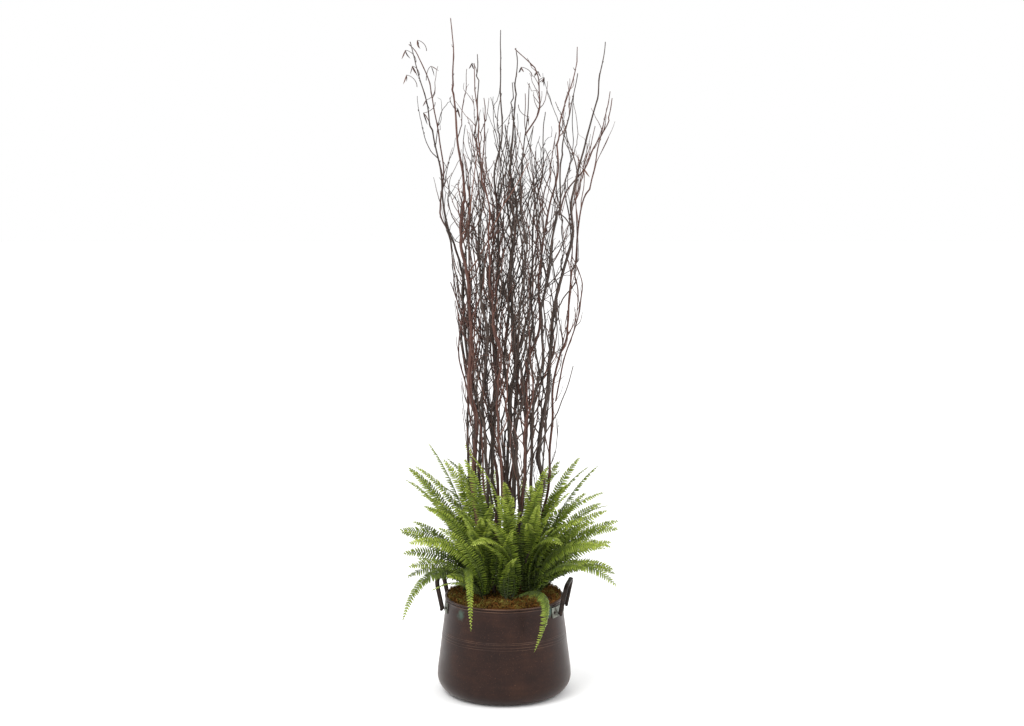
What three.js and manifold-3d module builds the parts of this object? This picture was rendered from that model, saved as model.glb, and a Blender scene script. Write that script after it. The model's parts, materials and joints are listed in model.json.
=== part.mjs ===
// A metal tub planted with boston ferns round a tall bundle of crooked bare branches.
// Millimetres, +Z up. The origin is the centre of the tub's flat base; +X points to the right
// handle and -Y to the front.

import * as THREE from "three";
import { mergeVertices } from "three/addons/utils/BufferGeometryUtils.js";
import Module from "manifold-3d";

const wasm = await Module();
wasm.setup();

// ---- driving dimensions ----
const GAP = 0.4; // clearance between pieces that touch
const ROUND = 48; // facets round the tub

const BASE_RADIUS = 148; // flat part of the base
const BELLY_RADIUS = 197.5; // widest, just above the rounded turn-under
const BELLY_HEIGHT = 54;
const CONE_START_HEIGHT = 72;
const CONE_START_RADIUS = 196.5;
const NECK_RADIUS = 171; // top of the cone, under the lip
const NECK_HEIGHT = 277;
const LIP_RADIUS = 175.5;
const RIM_HEIGHT = 291;
const SHEET = 2.5;

const HANDLE_HALF_WIDTH = 55; // from the middle of the loop to the middle of a leg
const HANDLE_FOOT = { out: 175.5, up: 253 };
const HANDLE_TOP = { out: 193, up: 337 };
const HANDLE_CORNER = 24;
const BAR_HALF = { inPlane: 4.5, radial: 6.5 };
const BAR_FACETS = 8;
const CURL = { radius: 5, halfLength: 7, out: 3, up: 1 }; // the rolled foot of each leg
const RIGHT_HANDLE_AZIMUTH = -10; // degrees, turned a little to the front
const LEFT_HANDLE_AZIMUTH = 172; // and this one a little to the back

const EAR_HALF_ANGLE = 27;
const EAR_LOW = 246;
const EAR_HIGH = 276;
const EAR_THICK = 2;
const EAR_CLEARANCE = GAP + 0.5; // the plate's facets stand off those of the wall
const RIVET_ANGLE = 23.4; // either side of the middle of each ear
const RIVET_HEIGHT = 261;
const RIVET_SHANK = 2;
const RIVET_HEAD = 4.2;
const RIVET_DOME = 2.6;
const RIVET_TAIL = { radius: 3.2, thick: 1.6 };
const RIVET_FACETS = 10;

const SOIL_TOP = 250;
const MOSS_RADIUS = 162;
const MOSS_EDGE = 284;
const MOSS_CREST = 299;
const MOSS_CLEARANCE = 4; // loose round each stem and crown
const MOSS_ROLL = { height: 2.5, x: 17, y: 19 };

const CROWN_RADIUS = 18;
const CROWN_BOTTOM = 196;
const CROWN_TOP = 303;
const CROWN_FACETS = 10;

const BRANCH_STEP = 90; // height between two rings of a branch
const BRANCH_SIDES = 5;
const FORK_SIDES = 4;
const WAIST_HEIGHT = 667; // where the bundle leaves the ferns
const TIP_RADIUS = 1.1;
const BRANCH_ROOM = 1; // spare room that a branch keeps all round
const WANDERS = [
  { length: 430, share: 0.75 },
  { length: 230, share: 0.45 },
];
const SHOOTS = [0.34, 0.56]; // where side shoots may start, as a share of the height
const SHOOT_CHOICE = 0.12;
const SHOOT_FAN = 2.4; // radians, about the way back over the bundle

const FROND_RINGS = 9;
const FROND_THICK = 1.6; // half thickness along the midrib
const FROND_HALF_WIDTH = 23;
const FROND_STALK = { share: 0.12, halfWidth: 1.5 };
const FROND_ROOM = 0.6;
const SEAT = { lift: 2.4, across: 7, along: 6.5 }; // spacing of the stalks on a crown

// ---- the planting, chosen by eye ----
// fern crowns: x, y
const CROWNS = [
  [-108, -8],
  [-66, -92],
  [14, -114],
  [84, -82],
  [112, 6],
  [-56, 98],
  [62, 96],
];

// fronds: crown, tip x, y, z, length along the midrib, roll of the blade in degrees
const FRONDS = [
  [0, -278, -10, 670, 418, 50],
  [0, -300, -120, 512, 330, -50],
  [0, -280, 140, 600, 392, 30],
  [0, -223, 50, 734, 462, 40],
  [0, -94, -222, 240, 360, 0],
  [1, -272, -190, 489, 318, -50],
  [1, -292, -160, 250, 340, -35],
  [1, -112, -150, 728, 444, 15],
  [2, -14, -180, 628, 344, 15],
  [2, 86, -214, 176, 370, 0],
  [2, -92, -285, 505, 370, -20],
  [3, 110, -150, 652, 370, -15],
  [3, 270, -205, 485, 318, 45],
  [3, 164, -270, 505, 350, 20],
  [3, 326, -120, 345, 300, 30],
  [4, 221, -10, 704, 430, -45],
  [4, 277, 60, 664, 416, -40],
  [4, 330, -110, 512, 348, 50],
  [4, 322, 130, 400, 300, 30],
  [5, -116, 140, 716, 434, -20],
  [5, -236, 216, 500, 322, -30],
  [5, -60, 300, 470, 320, 0],
  [6, 166, 150, 661, 390, 25],
  [6, 190, 268, 430, 300, 20],
];

// branches: base x, y; waist x, y; top x, y, z; radius at the base
const BRANCHES = [
  [-52, -36, -86, -42, -155, -30, 1966, 8],
  [-30, -54, -54, -58, -76, -60, 1866, 5],
  [-14, -26, -29, -16, -3, -30, 1933, 6],
  [4, -60, -8, -66, -87, -90, 1841, 4.5],
  [14, -10, 23, -28, 31, -14, 1883, 7.5],
  [30, -44, 40, -52, 68, -74, 1785, 5],
  [42, 2, 56, 6, 207, 10, 1886, 5.5],
  [56, -32, 82, -36, 206, -66, 1813, 5.5],
  [70, 8, 106, -14, 292, -10, 1900, 7.5],
  [62, 42, 136, 26, 304, 36, 1760, 4.5],
  [34, 44, 58, 62, 120, 84, 1700, 5],
  [6, 24, 8, 44, 26, 50, 1785, 5.5],
  [-20, 48, -26, 66, -60, 96, 1740, 5],
  [-44, 16, -72, 22, -262, 26, 1900, 5.5],
  [-66, -6, -101, -4, -112, 10, 1560, 4.5],
  [2, 68, 26, 84, 150, 110, 1640, 4.5],
];

// ---- materials ----
const finish = (color, roughness, metalness) =>
  new THREE.MeshStandardMaterial({ color, roughness, metalness });
const bronzedSheet = finish("#4a372f", 0.42, 0.85);
const blackIron = finish("#2e2521", 0.5, 0.8);
const wornPlate = finish("#8f8c7c", 0.55, 0.6);
const darkSoil = finish("#2a1e17", 0.95, 0);
const driedMoss = finish("#6b5a2c", 0.95, 0);
const rootstock = finish("#4b3d22", 0.9, 0);
const fernGreen = finish("#5f8433", 0.6, 0);
const redBark = finish("#5a3a2e", 0.8, 0);
const greyBark = finish("#3f332d", 0.8, 0);

// ---- small tools ----
const vec = (x, y, z) => new THREE.Vector3(x, y, z);
const UP = vec(0, 0, 1);
const radians = THREE.MathUtils.degToRad;

// A repeatable stream of numbers from 0 to 1.
function seeded(seed) {
  let state = seed >>> 0;
  return () => {
    state = (state + 0x6d2b79f5) >>> 0;
    let t = Math.imul(state ^ (state >>> 15), 1 | state);
    t = (t + Math.imul(t ^ (t >>> 7), 61 | t)) ^ t;
    return ((t ^ (t >>> 14)) >>> 0) / 4294967296;
  };
}

// A closed geometry as a solid that can be joined and cut.
function solidOf(geometry) {
  const bare = geometry.clone();
  bare.deleteAttribute("normal");
  bare.deleteAttribute("uv");
  const merged = mergeVertices(bare, 1e-3);
  const mesh = new wasm.Mesh({
    numProp: 3,
    vertProperties: merged.getAttribute("position").array,
    triVerts: new Uint32Array(merged.index.array),
  });
  return new wasm.Manifold(mesh);
}

// A solid back as a geometry.
function geometryOf(solid) {
  const mesh = solid.getMesh();
  const geometry = new THREE.BufferGeometry();
  geometry.setAttribute("position", new THREE.BufferAttribute(mesh.vertProperties, 3));
  geometry.setIndex(new THREE.BufferAttribute(mesh.triVerts, 1));
  return geometry;
}

// A closed skin over rings of equal count, each running counter-clockwise seen from the far end.
// The diagonals alternate, so that the two faces of a thin blade fold along the same lines.
function skin(rings) {
  const count = rings[0].length;
  const corners = rings.flat().flatMap((p) => [p.x, p.y, p.z]);
  const faces = [];
  for (let i = 0; i + 1 < rings.length; i++)
    for (let j = 0; j < count; j++) {
      const a = i * count + j;
      const b = i * count + ((j + 1) % count);
      if (j % 2) faces.push(a, b, a + count, b, b + count, a + count);
      else faces.push(a, b, b + count, a, b + count, a + count);
    }
  const last = (rings.length - 1) * count;
  for (let j = 1; j + 1 < count; j++) {
    faces.push(0, j + 1, j);
    faces.push(last, last + j, last + j + 1);
  }
  const geometry = new THREE.BufferGeometry();
  geometry.setAttribute("position", new THREE.Float32BufferAttribute(corners, 3));
  geometry.setIndex(faces);
  return geometry;
}

// A level ring of a branch.
const levelRing = (x, y, z, radius, sides) =>
  Array.from({ length: sides }, (_, k) => {
    const angle = (2 * Math.PI * k) / sides;
    return vec(x + radius * Math.cos(angle), y + radius * Math.sin(angle), z);
  });

// A turned solid from a profile of [radius, height], upright on Z.
function turned(profile, facets) {
  const points = profile.map(([r, z]) => new THREE.Vector2(r, z));
  return new THREE.LatheGeometry(points, facets).rotateX(Math.PI / 2);
}

const cylinder = (radius, low, high, facets) =>
  turned([[0, low], [radius, low], [radius, high], [0, high]], facets);

const plant = new THREE.Group();
plant.name = "planted_tub";
const placed = []; // solids that later pieces must keep clear of

function add(name, geometry, material) {
  const mesh = new THREE.Mesh(geometry, material);
  mesh.name = name;
  plant.add(mesh);
  placed.push(solidOf(geometry));
}

const isClear = (solid) => placed.every((other) => solid.intersect(other).volume() < 1e-3);

// ---- tub ----
// Outer radius of the cone at a height.
function wallRadius(height) {
  const t = (height - CONE_START_HEIGHT) / (NECK_HEIGHT - CONE_START_HEIGHT);
  return THREE.MathUtils.lerp(CONE_START_RADIUS, NECK_RADIUS, t);
}

function tubProfile() {
  const turnUnder = (inset) =>
    [0.2, 0.45, 0.7, 0.9].map((t) => {
      const angle = (t * Math.PI) / 2;
      return [
        BASE_RADIUS + (BELLY_RADIUS - BASE_RADIUS) * Math.sin(angle) - inset * Math.sin(angle),
        BELLY_HEIGHT * (1 - Math.cos(angle)) + inset * Math.cos(angle),
      ];
    });
  return [
    [0, 0],
    [BASE_RADIUS, 0],
    ...turnUnder(0),
    [BELLY_RADIUS, BELLY_HEIGHT],
    [CONE_START_RADIUS, CONE_START_HEIGHT],
    [NECK_RADIUS, NECK_HEIGHT],
    [LIP_RADIUS - 1.5, NECK_HEIGHT + 3],
    [LIP_RADIUS, NECK_HEIGHT + 5],
    [LIP_RADIUS, RIM_HEIGHT - 2],
    [LIP_RADIUS - 1.5, RIM_HEIGHT],
    [NECK_RADIUS - 0.5, RIM_HEIGHT],
    [NECK_RADIUS - SHEET, RIM_HEIGHT - 2],
    [NECK_RADIUS - SHEET, NECK_HEIGHT],
    [CONE_START_RADIUS - SHEET, CONE_START_HEIGHT],
    [BELLY_RADIUS - SHEET, BELLY_HEIGHT],
    ...turnUnder(SHEET).reverse(),
    [BASE_RADIUS, SHEET],
    [0, SHEET],
  ];
}

// Shank and heads of a rivet along +X, the outer head from `start` outward.
function rivet(start, inner) {
  const profile = [
    [0, inner - RIVET_TAIL.thick],
    [RIVET_TAIL.radius, inner - RIVET_TAIL.thick],
    [RIVET_TAIL.radius, inner],
    [RIVET_SHANK, inner],
    [RIVET_SHANK, start],
    [RIVET_HEAD, start],
    [RIVET_HEAD * 0.8, start + RIVET_DOME * 0.6],
    [0, start + RIVET_DOME],
  ];
  return turned(profile, RIVET_FACETS).rotateY(Math.PI / 2);
}

const HANDLES = [
  { side: "right", azimuth: RIGHT_HANDLE_AZIMUTH },
  { side: "left", azimuth: LEFT_HANDLE_AZIMUTH },
];

// Rivets run level through wall and ear, at equal angles either side of each ear's middle.
const rivetSpots = HANDLES.flatMap(({ side, azimuth }) =>
  [-1, 1].map((end) => ({
    name: `rivet_${side}_${end < 0 ? "a" : "b"}`,
    turn: radians(azimuth + end * RIVET_ANGLE),
  })),
);
const rivetHole = (turn) =>
  solidOf(
    cylinder(RIVET_SHANK + GAP, NECK_RADIUS - 20, NECK_RADIUS + 30, RIVET_FACETS)
      .rotateY(Math.PI / 2)
      .translate(0, 0, RIVET_HEIGHT)
      .rotateZ(turn),
  );
const rivetHoles = rivetSpots.map(({ turn }) => rivetHole(turn));
const drilled = (solid) => rivetHoles.reduce((left, hole) => left.subtract(hole), solid);

add("tub", geometryOf(drilled(solidOf(turned(tubProfile(), ROUND)))), bronzedSheet);

// ---- ear plates, rivets and handles ----
// A plate bent to the cone, from EAR_LOW to EAR_HIGH.
function earPlate(azimuth) {
  const steps = 12;
  const rings = Array.from({ length: steps + 1 }, (_, k) => {
    const angle = radians(azimuth + EAR_HALF_ANGLE * ((2 * k) / steps - 1));
    const corner = (height, out) => {
      const radius = wallRadius(height) + EAR_CLEARANCE + out;
      return vec(radius * Math.cos(angle), radius * Math.sin(angle), height);
    };
    return [
      corner(EAR_LOW, 0),
      corner(EAR_HIGH, 0),
      corner(EAR_HIGH, EAR_THICK),
      corner(EAR_LOW, EAR_THICK),
    ];
  });
  return skin(rings);
}

// The strap: one leg up, round corner, top, round corner, down; drawn at azimuth 0 and leaning
// outward from its feet.
function handle(azimuth) {
  const rise = HANDLE_TOP.up - HANDLE_FOOT.up;
  const lean = Math.atan2(HANDLE_TOP.out - HANDLE_FOOT.out, rise);
  const height = rise / Math.cos(lean);
  const path = new THREE.CurvePath();
  const w = HANDLE_HALF_WIDTH;
  const c = HANDLE_CORNER;
  path.add(new THREE.LineCurve3(vec(0, -w, 0), vec(0, -w, height - c)));
  path.add(new THREE.QuadraticBezierCurve3(
    vec(0, -w, height - c), vec(0, -w, height), vec(0, c - w, height)));
  path.add(new THREE.LineCurve3(vec(0, c - w, height), vec(0, w - c, height)));
  path.add(new THREE.QuadraticBezierCurve3(
    vec(0, w - c, height), vec(0, w, height), vec(0, w, height - c)));
  path.add(new THREE.LineCurve3(vec(0, w, height - c), vec(0, w, 0)));
  const a = BAR_HALF.inPlane / Math.cos(Math.PI / BAR_FACETS);
  const b = BAR_HALF.radial / Math.cos(Math.PI / BAR_FACETS);
  const section = new THREE.Shape(
    Array.from({ length: BAR_FACETS }, (_, k) => {
      const angle = (2 * Math.PI * (k + 0.5)) / BAR_FACETS;
      return new THREE.Vector2(a * Math.cos(angle), b * Math.sin(angle));
    }),
  );
  const strap = new THREE.ExtrudeGeometry(section, { steps: 28, extrudePath: path });
  let solid = solidOf(strap);
  for (const end of [-1, 1]) {
    const curl = cylinder(CURL.radius, -CURL.halfLength, CURL.halfLength, 10).rotateX(Math.PI / 2);
    solid = solid.add(solidOf(curl.translate(CURL.out, end * w, CURL.up)));
  }
  return geometryOf(solid)
    .rotateY(lean)
    .translate(HANDLE_FOOT.out, 0, HANDLE_FOOT.up)
    .rotateZ(radians(azimuth));
}

for (const { side, azimuth } of HANDLES) {
  add(`ear_plate_${side}`, geometryOf(drilled(solidOf(earPlate(azimuth)))), wornPlate);
  add(`handle_${side}`, handle(azimuth), blackIron);
}
for (const { name, turn } of rivetSpots) {
  const outside = wallRadius(RIVET_HEIGHT) + EAR_CLEARANCE + EAR_THICK + 0.7;
  const inside = wallRadius(RIVET_HEIGHT) - SHEET - 1;
  const body = rivet(outside, inside).translate(0, 0, RIVET_HEIGHT).rotateZ(turn);
  add(name, body, blackIron);
}

// ---- soil and moss, with a socket for each branch and crown ----
const SOCKET_FACETS = 12;
function socket(x, y, radius, low, high) {
  const reach = radius / Math.cos(Math.PI / SOCKET_FACETS);
  return solidOf(cylinder(reach, low, high, SOCKET_FACETS).translate(x, y, 0));
}

function withSockets(solid, high, clearance) {
  let left = solid;
  for (const [x, y, , , , , , radius] of BRANCHES)
    left = left.subtract(socket(x, y, radius + clearance, BRANCH_STEP - GAP, high));
  for (const [x, y] of CROWNS)
    left = left.subtract(socket(x, y, CROWN_RADIUS + clearance, CROWN_BOTTOM - GAP, high));
  return left;
}

function soil() {
  const inset = SHEET + 1.5;
  const profile = [
    [0, SHEET + GAP],
    [BASE_RADIUS - 2, SHEET + GAP],
    [BELLY_RADIUS - 18, 0.55 * BELLY_HEIGHT],
    [BELLY_RADIUS - 8, BELLY_HEIGHT],
    [CONE_START_RADIUS - inset, CONE_START_HEIGHT + 4],
    [wallRadius(SOIL_TOP) - inset, SOIL_TOP],
    [0, SOIL_TOP],
  ];
  return withSockets(solidOf(turned(profile, ROUND)), SOIL_TOP + 10, GAP);
}

// A thick loose mat: flat under, mounded on top, its surface rolling gently.
function moss() {
  const bottom = SOIL_TOP + GAP;
  const profile = [
    [0, bottom],
    [MOSS_RADIUS - 3, bottom],
    [MOSS_RADIUS, bottom + 10],
    [MOSS_RADIUS, MOSS_EDGE - 6],
    [MOSS_RADIUS - 6, MOSS_EDGE],
    [MOSS_RADIUS - 30, MOSS_CREST - 4],
    [MOSS_RADIUS - 70, MOSS_CREST],
    [0, MOSS_CREST],
  ];
  const mat = turned(profile, 36);
  const spots = mat.getAttribute("position");
  for (let i = 0; i < spots.count; i++) {
    const x = spots.getX(i);
    const y = spots.getY(i);
    const z = spots.getZ(i);
    if (z > MOSS_EDGE - 1 && Math.hypot(x, y) > 1)
      spots.setZ(i, z + MOSS_ROLL.height * Math.sin(x / MOSS_ROLL.x) * Math.cos(y / MOSS_ROLL.y));
  }
  return withSockets(solidOf(mat), MOSS_CREST + 20, MOSS_CLEARANCE);
}

add("potting_soil", geometryOf(soil()), darkSoil);
add("moss_mat", geometryOf(moss()), driedMoss);

// ---- fern crowns ----
CROWNS.forEach(([x, y], index) => {
  const profile = [
    [0, CROWN_BOTTOM],
    [CROWN_RADIUS * 0.6, CROWN_BOTTOM],
    [CROWN_RADIUS, CROWN_BOTTOM + 30],
    [CROWN_RADIUS, CROWN_TOP - 10],
    [CROWN_RADIUS * 0.85, CROWN_TOP],
    [0, CROWN_TOP],
  ];
  add(`fern_crown_${index + 1}`, turned(profile, CROWN_FACETS).translate(x, y, 0), rootstock);
});

// ---- branches ----
// Centre of a branch at a height: upright in the soil, easing to the waist of the bundle and then
// spreading to its top, with a crooked wander that grows with height.
function branchCentre(branch, wander, z) {
  const [baseX, baseY, waistX, waistY, topX, topY, topZ] = branch;
  const free = CROWN_TOP + 7;
  if (z < free) return vec(baseX, baseY, z);
  const rise = Math.min((z - free) / (WAIST_HEIGHT - free), 1);
  const eased = rise * rise * (3 - 2 * rise);
  const spread = Math.max((z - WAIST_HEIGHT) / (topZ - WAIST_HEIGHT), 0) ** 1.5;
  const swing = 4 + 13 * Math.min((z - free) / 1200, 1);
  const grip = Math.min((z - free) / 150, 1) * (1 - 0.7 * spread);
  let x = baseX + (waistX - baseX) * eased + (topX - waistX) * spread;
  let y = baseY + (waistY - baseY) * eased + (topY - waistY) * spread;
  for (const { length, turn, share } of wander) {
    const phase = (2 * Math.PI * z) / length;
    x += grip * swing * share * Math.sin(phase + turn);
    y += grip * swing * share * Math.cos(phase * 0.83 + 2 * turn);
  }
  return vec(x, y, z);
}

// Radius of a branch, thinning from base to tip.
function branchRadius(branch, z) {
  const left = 1 - Math.max(z - CROWN_TOP, 0) / (branch[6] - CROWN_TOP);
  return TIP_RADIUS + (branch[7] - TIP_RADIUS) * Math.max(left, 0) ** 0.85;
}

// A branch with its side shoots. Its own rings lie at whole steps of height and those of the
// shoots half way between.
function branchSolid(branch, seed, swell) {
  const random = seeded(seed);
  const wander = WANDERS.map(({ length, share }) => ({
    length: length * (0.85 + 0.3 * random()),
    turn: 2 * Math.PI * random(),
    share,
  }));
  const [, , waistX, waistY, , , topZ] = branch;
  const inward = Math.atan2(-waistY, -waistX);
  const heights = [];
  for (let z = BRANCH_STEP; z < topZ - 30; z += BRANCH_STEP) heights.push(z);
  heights.push(topZ);
  const ringAt = (z) => {
    const centre = branchCentre(branch, wander, z);
    const radius = branchRadius(branch, z) + (z > CROWN_TOP ? swell : 0);
    return levelRing(centre.x, centre.y, z, radius, BRANCH_SIDES);
  };
  let solid = solidOf(skin(heights.map(ringAt)));
  for (const part of SHOOTS) {
    const start = Math.round((part + SHOOT_CHOICE * random()) * (topZ / BRANCH_STEP)) + 0.5;
    const azimuth = inward + SHOOT_FAN * (random() - 0.5);
    const length = 4 + Math.floor(2 * random());
    const reach = 13 + 9 * random();
    const rings = Array.from({ length: length + 1 }, (_, k) => {
      const z = (start + k) * BRANCH_STEP;
      const away = reach * k ** 0.8 * 1.6;
      const centre = branchCentre(branch, wander, z);
      const thin = branchRadius(branch, start * BRANCH_STEP) * 0.62;
      const radius = Math.max(thin * (1 - k / (length + 1)), TIP_RADIUS) + (k ? swell : 0);
      const bend = azimuth + 0.12 * k;
      return levelRing(
        centre.x + away * Math.cos(bend), centre.y + away * Math.sin(bend), z, radius, FORK_SIDES);
    });
    solid = solid.add(solidOf(skin(rings)));
  }
  return solid;
}

BRANCHES.forEach((branch, index) => {
  const name = `branch_${String(index + 1).padStart(2, "0")}`;
  let seed = 100 * (index + 1);
  while (!isClear(branchSolid(branch, seed, BRANCH_ROOM))) {
    seed += 1;
    if (seed % 100 > 80) throw new Error(`${name} finds no clear way up`);
  }
  add(name, geometryOf(branchSolid(branch, seed, 0)), index % 3 ? greyBark : redBark);
});

// ---- fronds ----
// Midrib: a cubic curve from the crown to the tip, bowed up and inward until it has its length.
function midrib(base, tip, length) {
  const chord = tip.clone().sub(base);
  const along = chord.clone().normalize();
  const bowWay = UP.clone().addScaledVector(along, -along.dot(UP)).normalize();
  let low = 0;
  let high = length;
  let curve;
  for (let round = 0; round < 24; round++) {
    const bow = (low + high) / 2;
    curve = new THREE.CubicBezierCurve3(
      base,
      base.clone().addScaledVector(chord, 0.22).addScaledVector(bowWay, bow),
      base.clone().addScaledVector(chord, 0.72).addScaledVector(bowWay, bow * 0.9),
      tip,
    );
    if (curve.getLength() < length) low = bow;
    else high = bow;
  }
  return curve;
}

// Blade half width along the midrib: bare stalk, then leaflets that shorten to the tip.
function bladeHalfWidth(t) {
  const leafy = Math.max(t - FROND_STALK.share, 0) / (1 - FROND_STALK.share);
  return FROND_STALK.halfWidth + FROND_HALF_WIDTH * Math.min(leafy / 0.45, 1) * (1 - leafy ** 3) ** 0.9;
}

function frondSolid(base, tip, length, roll, swell) {
  const curve = midrib(base, tip, length);
  const outward = tip.clone().sub(base).setZ(0).normalize();
  const level = vec(-outward.y, outward.x, 0);
  const rings = Array.from({ length: FROND_RINGS }, (_, k) => {
    const t = k / (FROND_RINGS - 1);
    const centre = curve.getPoint(t);
    const along = curve.getTangent(t);
    const side = level.clone().applyAxisAngle(along, radians(roll) * Math.min(3 * t, 1));
    side.addScaledVector(along, -side.dot(along)).normalize();
    const face = along.clone().cross(side);
    const wide = bladeHalfWidth(t) + swell;
    const thick = FROND_THICK * (1 - 0.6 * t) + swell;
    return [
      centre.clone().addScaledVector(side, wide),
      centre.clone().addScaledVector(face, thick),
      centre.clone().addScaledVector(side, -wide),
      centre.clone().addScaledVector(face, -thick),
    ];
  });
  return solidOf(skin(rings));
}

// Small turns, longest reach last, that a frond tries until it is clear of everything before it.
const TRIES = [];
for (let ring = 0; ring < 9; ring++)
  for (const turn of ring ? [-5 * ring, 5 * ring] : [0])
    for (const roll of [0, 20, -20, 45, -45, 70, -70])
      for (const stretch of [1, 0.95, 1.06]) TRIES.push({ turn, roll, stretch });

// Fronds of one crown stand across it from right to left as they head out, the low ones in front.
const headingOf = ([crown, tipX, tipY]) =>
  Math.atan2(tipY - CROWNS[crown][1], tipX - CROWNS[crown][0]);

function seatOf(frond) {
  const [crown] = frond;
  const [crownX, crownY] = CROWNS[crown];
  const mates = FRONDS.filter((other) => other[0] === crown);
  const mean = vec(0, 0, 0);
  for (const mate of mates) mean.add(vec(Math.cos(headingOf(mate)), Math.sin(headingOf(mate)), 0));
  mean.normalize();
  const across = vec(-mean.y, mean.x, 0);
  const sideways = (mate) => vec(mate[1] - crownX, mate[2] - crownY, 0).normalize().dot(across);
  const rank = mates.filter((mate) => sideways(mate) < sideways(frond)).length;
  const low = mates.filter((mate) => mate[3] > frond[3]).length;
  const middle = (mates.length - 1) / 2;
  return vec(crownX, crownY, CROWN_TOP + SEAT.lift)
    .addScaledVector(across, SEAT.across * (rank - middle))
    .addScaledVector(mean, SEAT.along * (low - middle));
}

FRONDS.forEach((frond, index) => {
  const name = `frond_${String(index + 1).padStart(2, "0")}`;
  const [, tipX, tipY, tipZ, length, roll] = frond;
  const base = seatOf(frond);
  for (const attempt of TRIES) {
    const tip = vec(tipX - base.x, tipY - base.y, tipZ - base.z)
      .applyAxisAngle(UP, radians(attempt.turn))
      .add(base);
    const rolled = roll + attempt.roll;
    const long = length * attempt.stretch;
    if (isClear(frondSolid(base, tip, long, rolled, FROND_ROOM))) {
      add(name, geometryOf(frondSolid(base, tip, long, rolled, 0)), fernGreen);
      return;
    }
  }
  throw new Error(`${name} finds no clear place`);
});

export default plant;
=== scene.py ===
import json
import math

import bpy
import numpy as np
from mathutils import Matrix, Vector


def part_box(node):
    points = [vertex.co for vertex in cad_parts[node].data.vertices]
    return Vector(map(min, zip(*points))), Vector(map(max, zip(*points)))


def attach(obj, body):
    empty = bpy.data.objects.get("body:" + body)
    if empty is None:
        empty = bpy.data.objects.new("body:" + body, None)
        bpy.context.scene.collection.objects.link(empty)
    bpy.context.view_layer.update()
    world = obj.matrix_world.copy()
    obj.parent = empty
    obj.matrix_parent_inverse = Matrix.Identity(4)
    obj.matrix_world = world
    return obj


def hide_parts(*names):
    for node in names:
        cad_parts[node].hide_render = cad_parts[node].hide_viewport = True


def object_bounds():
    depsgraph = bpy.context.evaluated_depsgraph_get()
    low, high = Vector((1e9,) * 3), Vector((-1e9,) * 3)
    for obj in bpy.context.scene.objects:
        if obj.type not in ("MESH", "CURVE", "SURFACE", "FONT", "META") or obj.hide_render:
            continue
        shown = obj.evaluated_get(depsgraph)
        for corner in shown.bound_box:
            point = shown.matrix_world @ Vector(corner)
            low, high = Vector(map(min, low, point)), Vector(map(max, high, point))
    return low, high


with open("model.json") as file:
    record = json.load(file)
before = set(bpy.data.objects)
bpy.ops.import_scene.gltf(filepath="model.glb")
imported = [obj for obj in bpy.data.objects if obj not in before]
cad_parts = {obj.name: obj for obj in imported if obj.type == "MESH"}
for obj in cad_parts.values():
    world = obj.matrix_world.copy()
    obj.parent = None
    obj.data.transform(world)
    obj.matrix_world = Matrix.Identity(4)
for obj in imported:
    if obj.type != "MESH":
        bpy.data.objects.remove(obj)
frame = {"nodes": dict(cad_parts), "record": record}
cad_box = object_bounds()

# ---- camera, floor and light ----
# A small studio: a white floor that fades into a white room, a broad soft light from the upper
# left and a weaker one from the right, seen from a little above head height.
CAMERA_AT = Vector((0.023, -6.0, 1.9))
CAMERA_AIM = Vector((0.023, 0.0, 0.98))
LENS_MM = 73.6

camera_data = bpy.data.cameras.new("studio_camera")
camera_data.lens = LENS_MM
camera_data.sensor_width = 36.0
camera = bpy.data.objects.new("studio_camera", camera_data)
camera.location = CAMERA_AT
camera.rotation_euler = (CAMERA_AIM - CAMERA_AT).to_track_quat("-Z", "Y").to_euler()
bpy.context.scene.collection.objects.link(camera)
bpy.context.scene.camera = camera
bpy.context.scene.view_settings.view_transform = "Standard"


def linear(hex_colour):
    """A hex sRGB colour as linear red, green, blue and alpha."""
    parts = np.array([int(hex_colour[i : i + 2], 16) / 255 for i in (1, 3, 5)])
    curve = np.where(parts <= 0.04045, parts / 12.92, ((parts + 0.055) / 1.055) ** 2.4)
    return (*curve.tolist(), 1.0)


def add_node(tree, kind, inputs=None, stops=None, **settings):
    """Adds a node, sets its properties, its ramp's stops, and sets or links each named input."""
    made = tree.nodes.new(kind)
    for key, value in settings.items():
        setattr(made, key, value)
    if stops:
        ramp = made.color_ramp.elements
        while len(ramp) < len(stops):
            ramp.new(0.5)
        for spot, (place, colour) in zip(ramp, stops):
            spot.position = place
            spot.color = linear(colour)
    for key, value in (inputs or {}).items():
        if isinstance(value, bpy.types.NodeSocket):
            tree.links.new(value, made.inputs[key])
        else:
            made.inputs[key].default_value = value
    return made


def new_material(name):
    """An empty material with an output: returns the material and its node tree."""
    material = bpy.data.materials.new(name)
    material.use_nodes = True
    material.node_tree.nodes.clear()
    return material, material.node_tree


def shade(tree, inputs):
    """Ends a material: a Principled shader with these inputs, joined to the output."""
    shader = add_node(tree, "ShaderNodeBsdfPrincipled", inputs)
    add_node(tree, "ShaderNodeOutputMaterial", {"Surface": shader.outputs["BSDF"]})


FLOOR_HALF = 14.0
floor_mesh = bpy.data.meshes.new("studio_floor")
floor_mesh.from_pydata(
    [(-FLOOR_HALF, -FLOOR_HALF, 0), (FLOOR_HALF, -FLOOR_HALF, 0),
     (FLOOR_HALF, FLOOR_HALF, 0), (-FLOOR_HALF, FLOOR_HALF, 0)], [], [(0, 1, 2, 3)])
floor = bpy.data.objects.new("studio_floor", floor_mesh)
bpy.context.scene.collection.objects.link(floor)
floor_white, tree = new_material("white_studio_floor")
shade(tree, {"Base Color": linear("#fbfbfb"), "Roughness": 1.0, "Specular IOR Level": 0.0})
floor_mesh.materials.append(floor_white)

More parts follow.
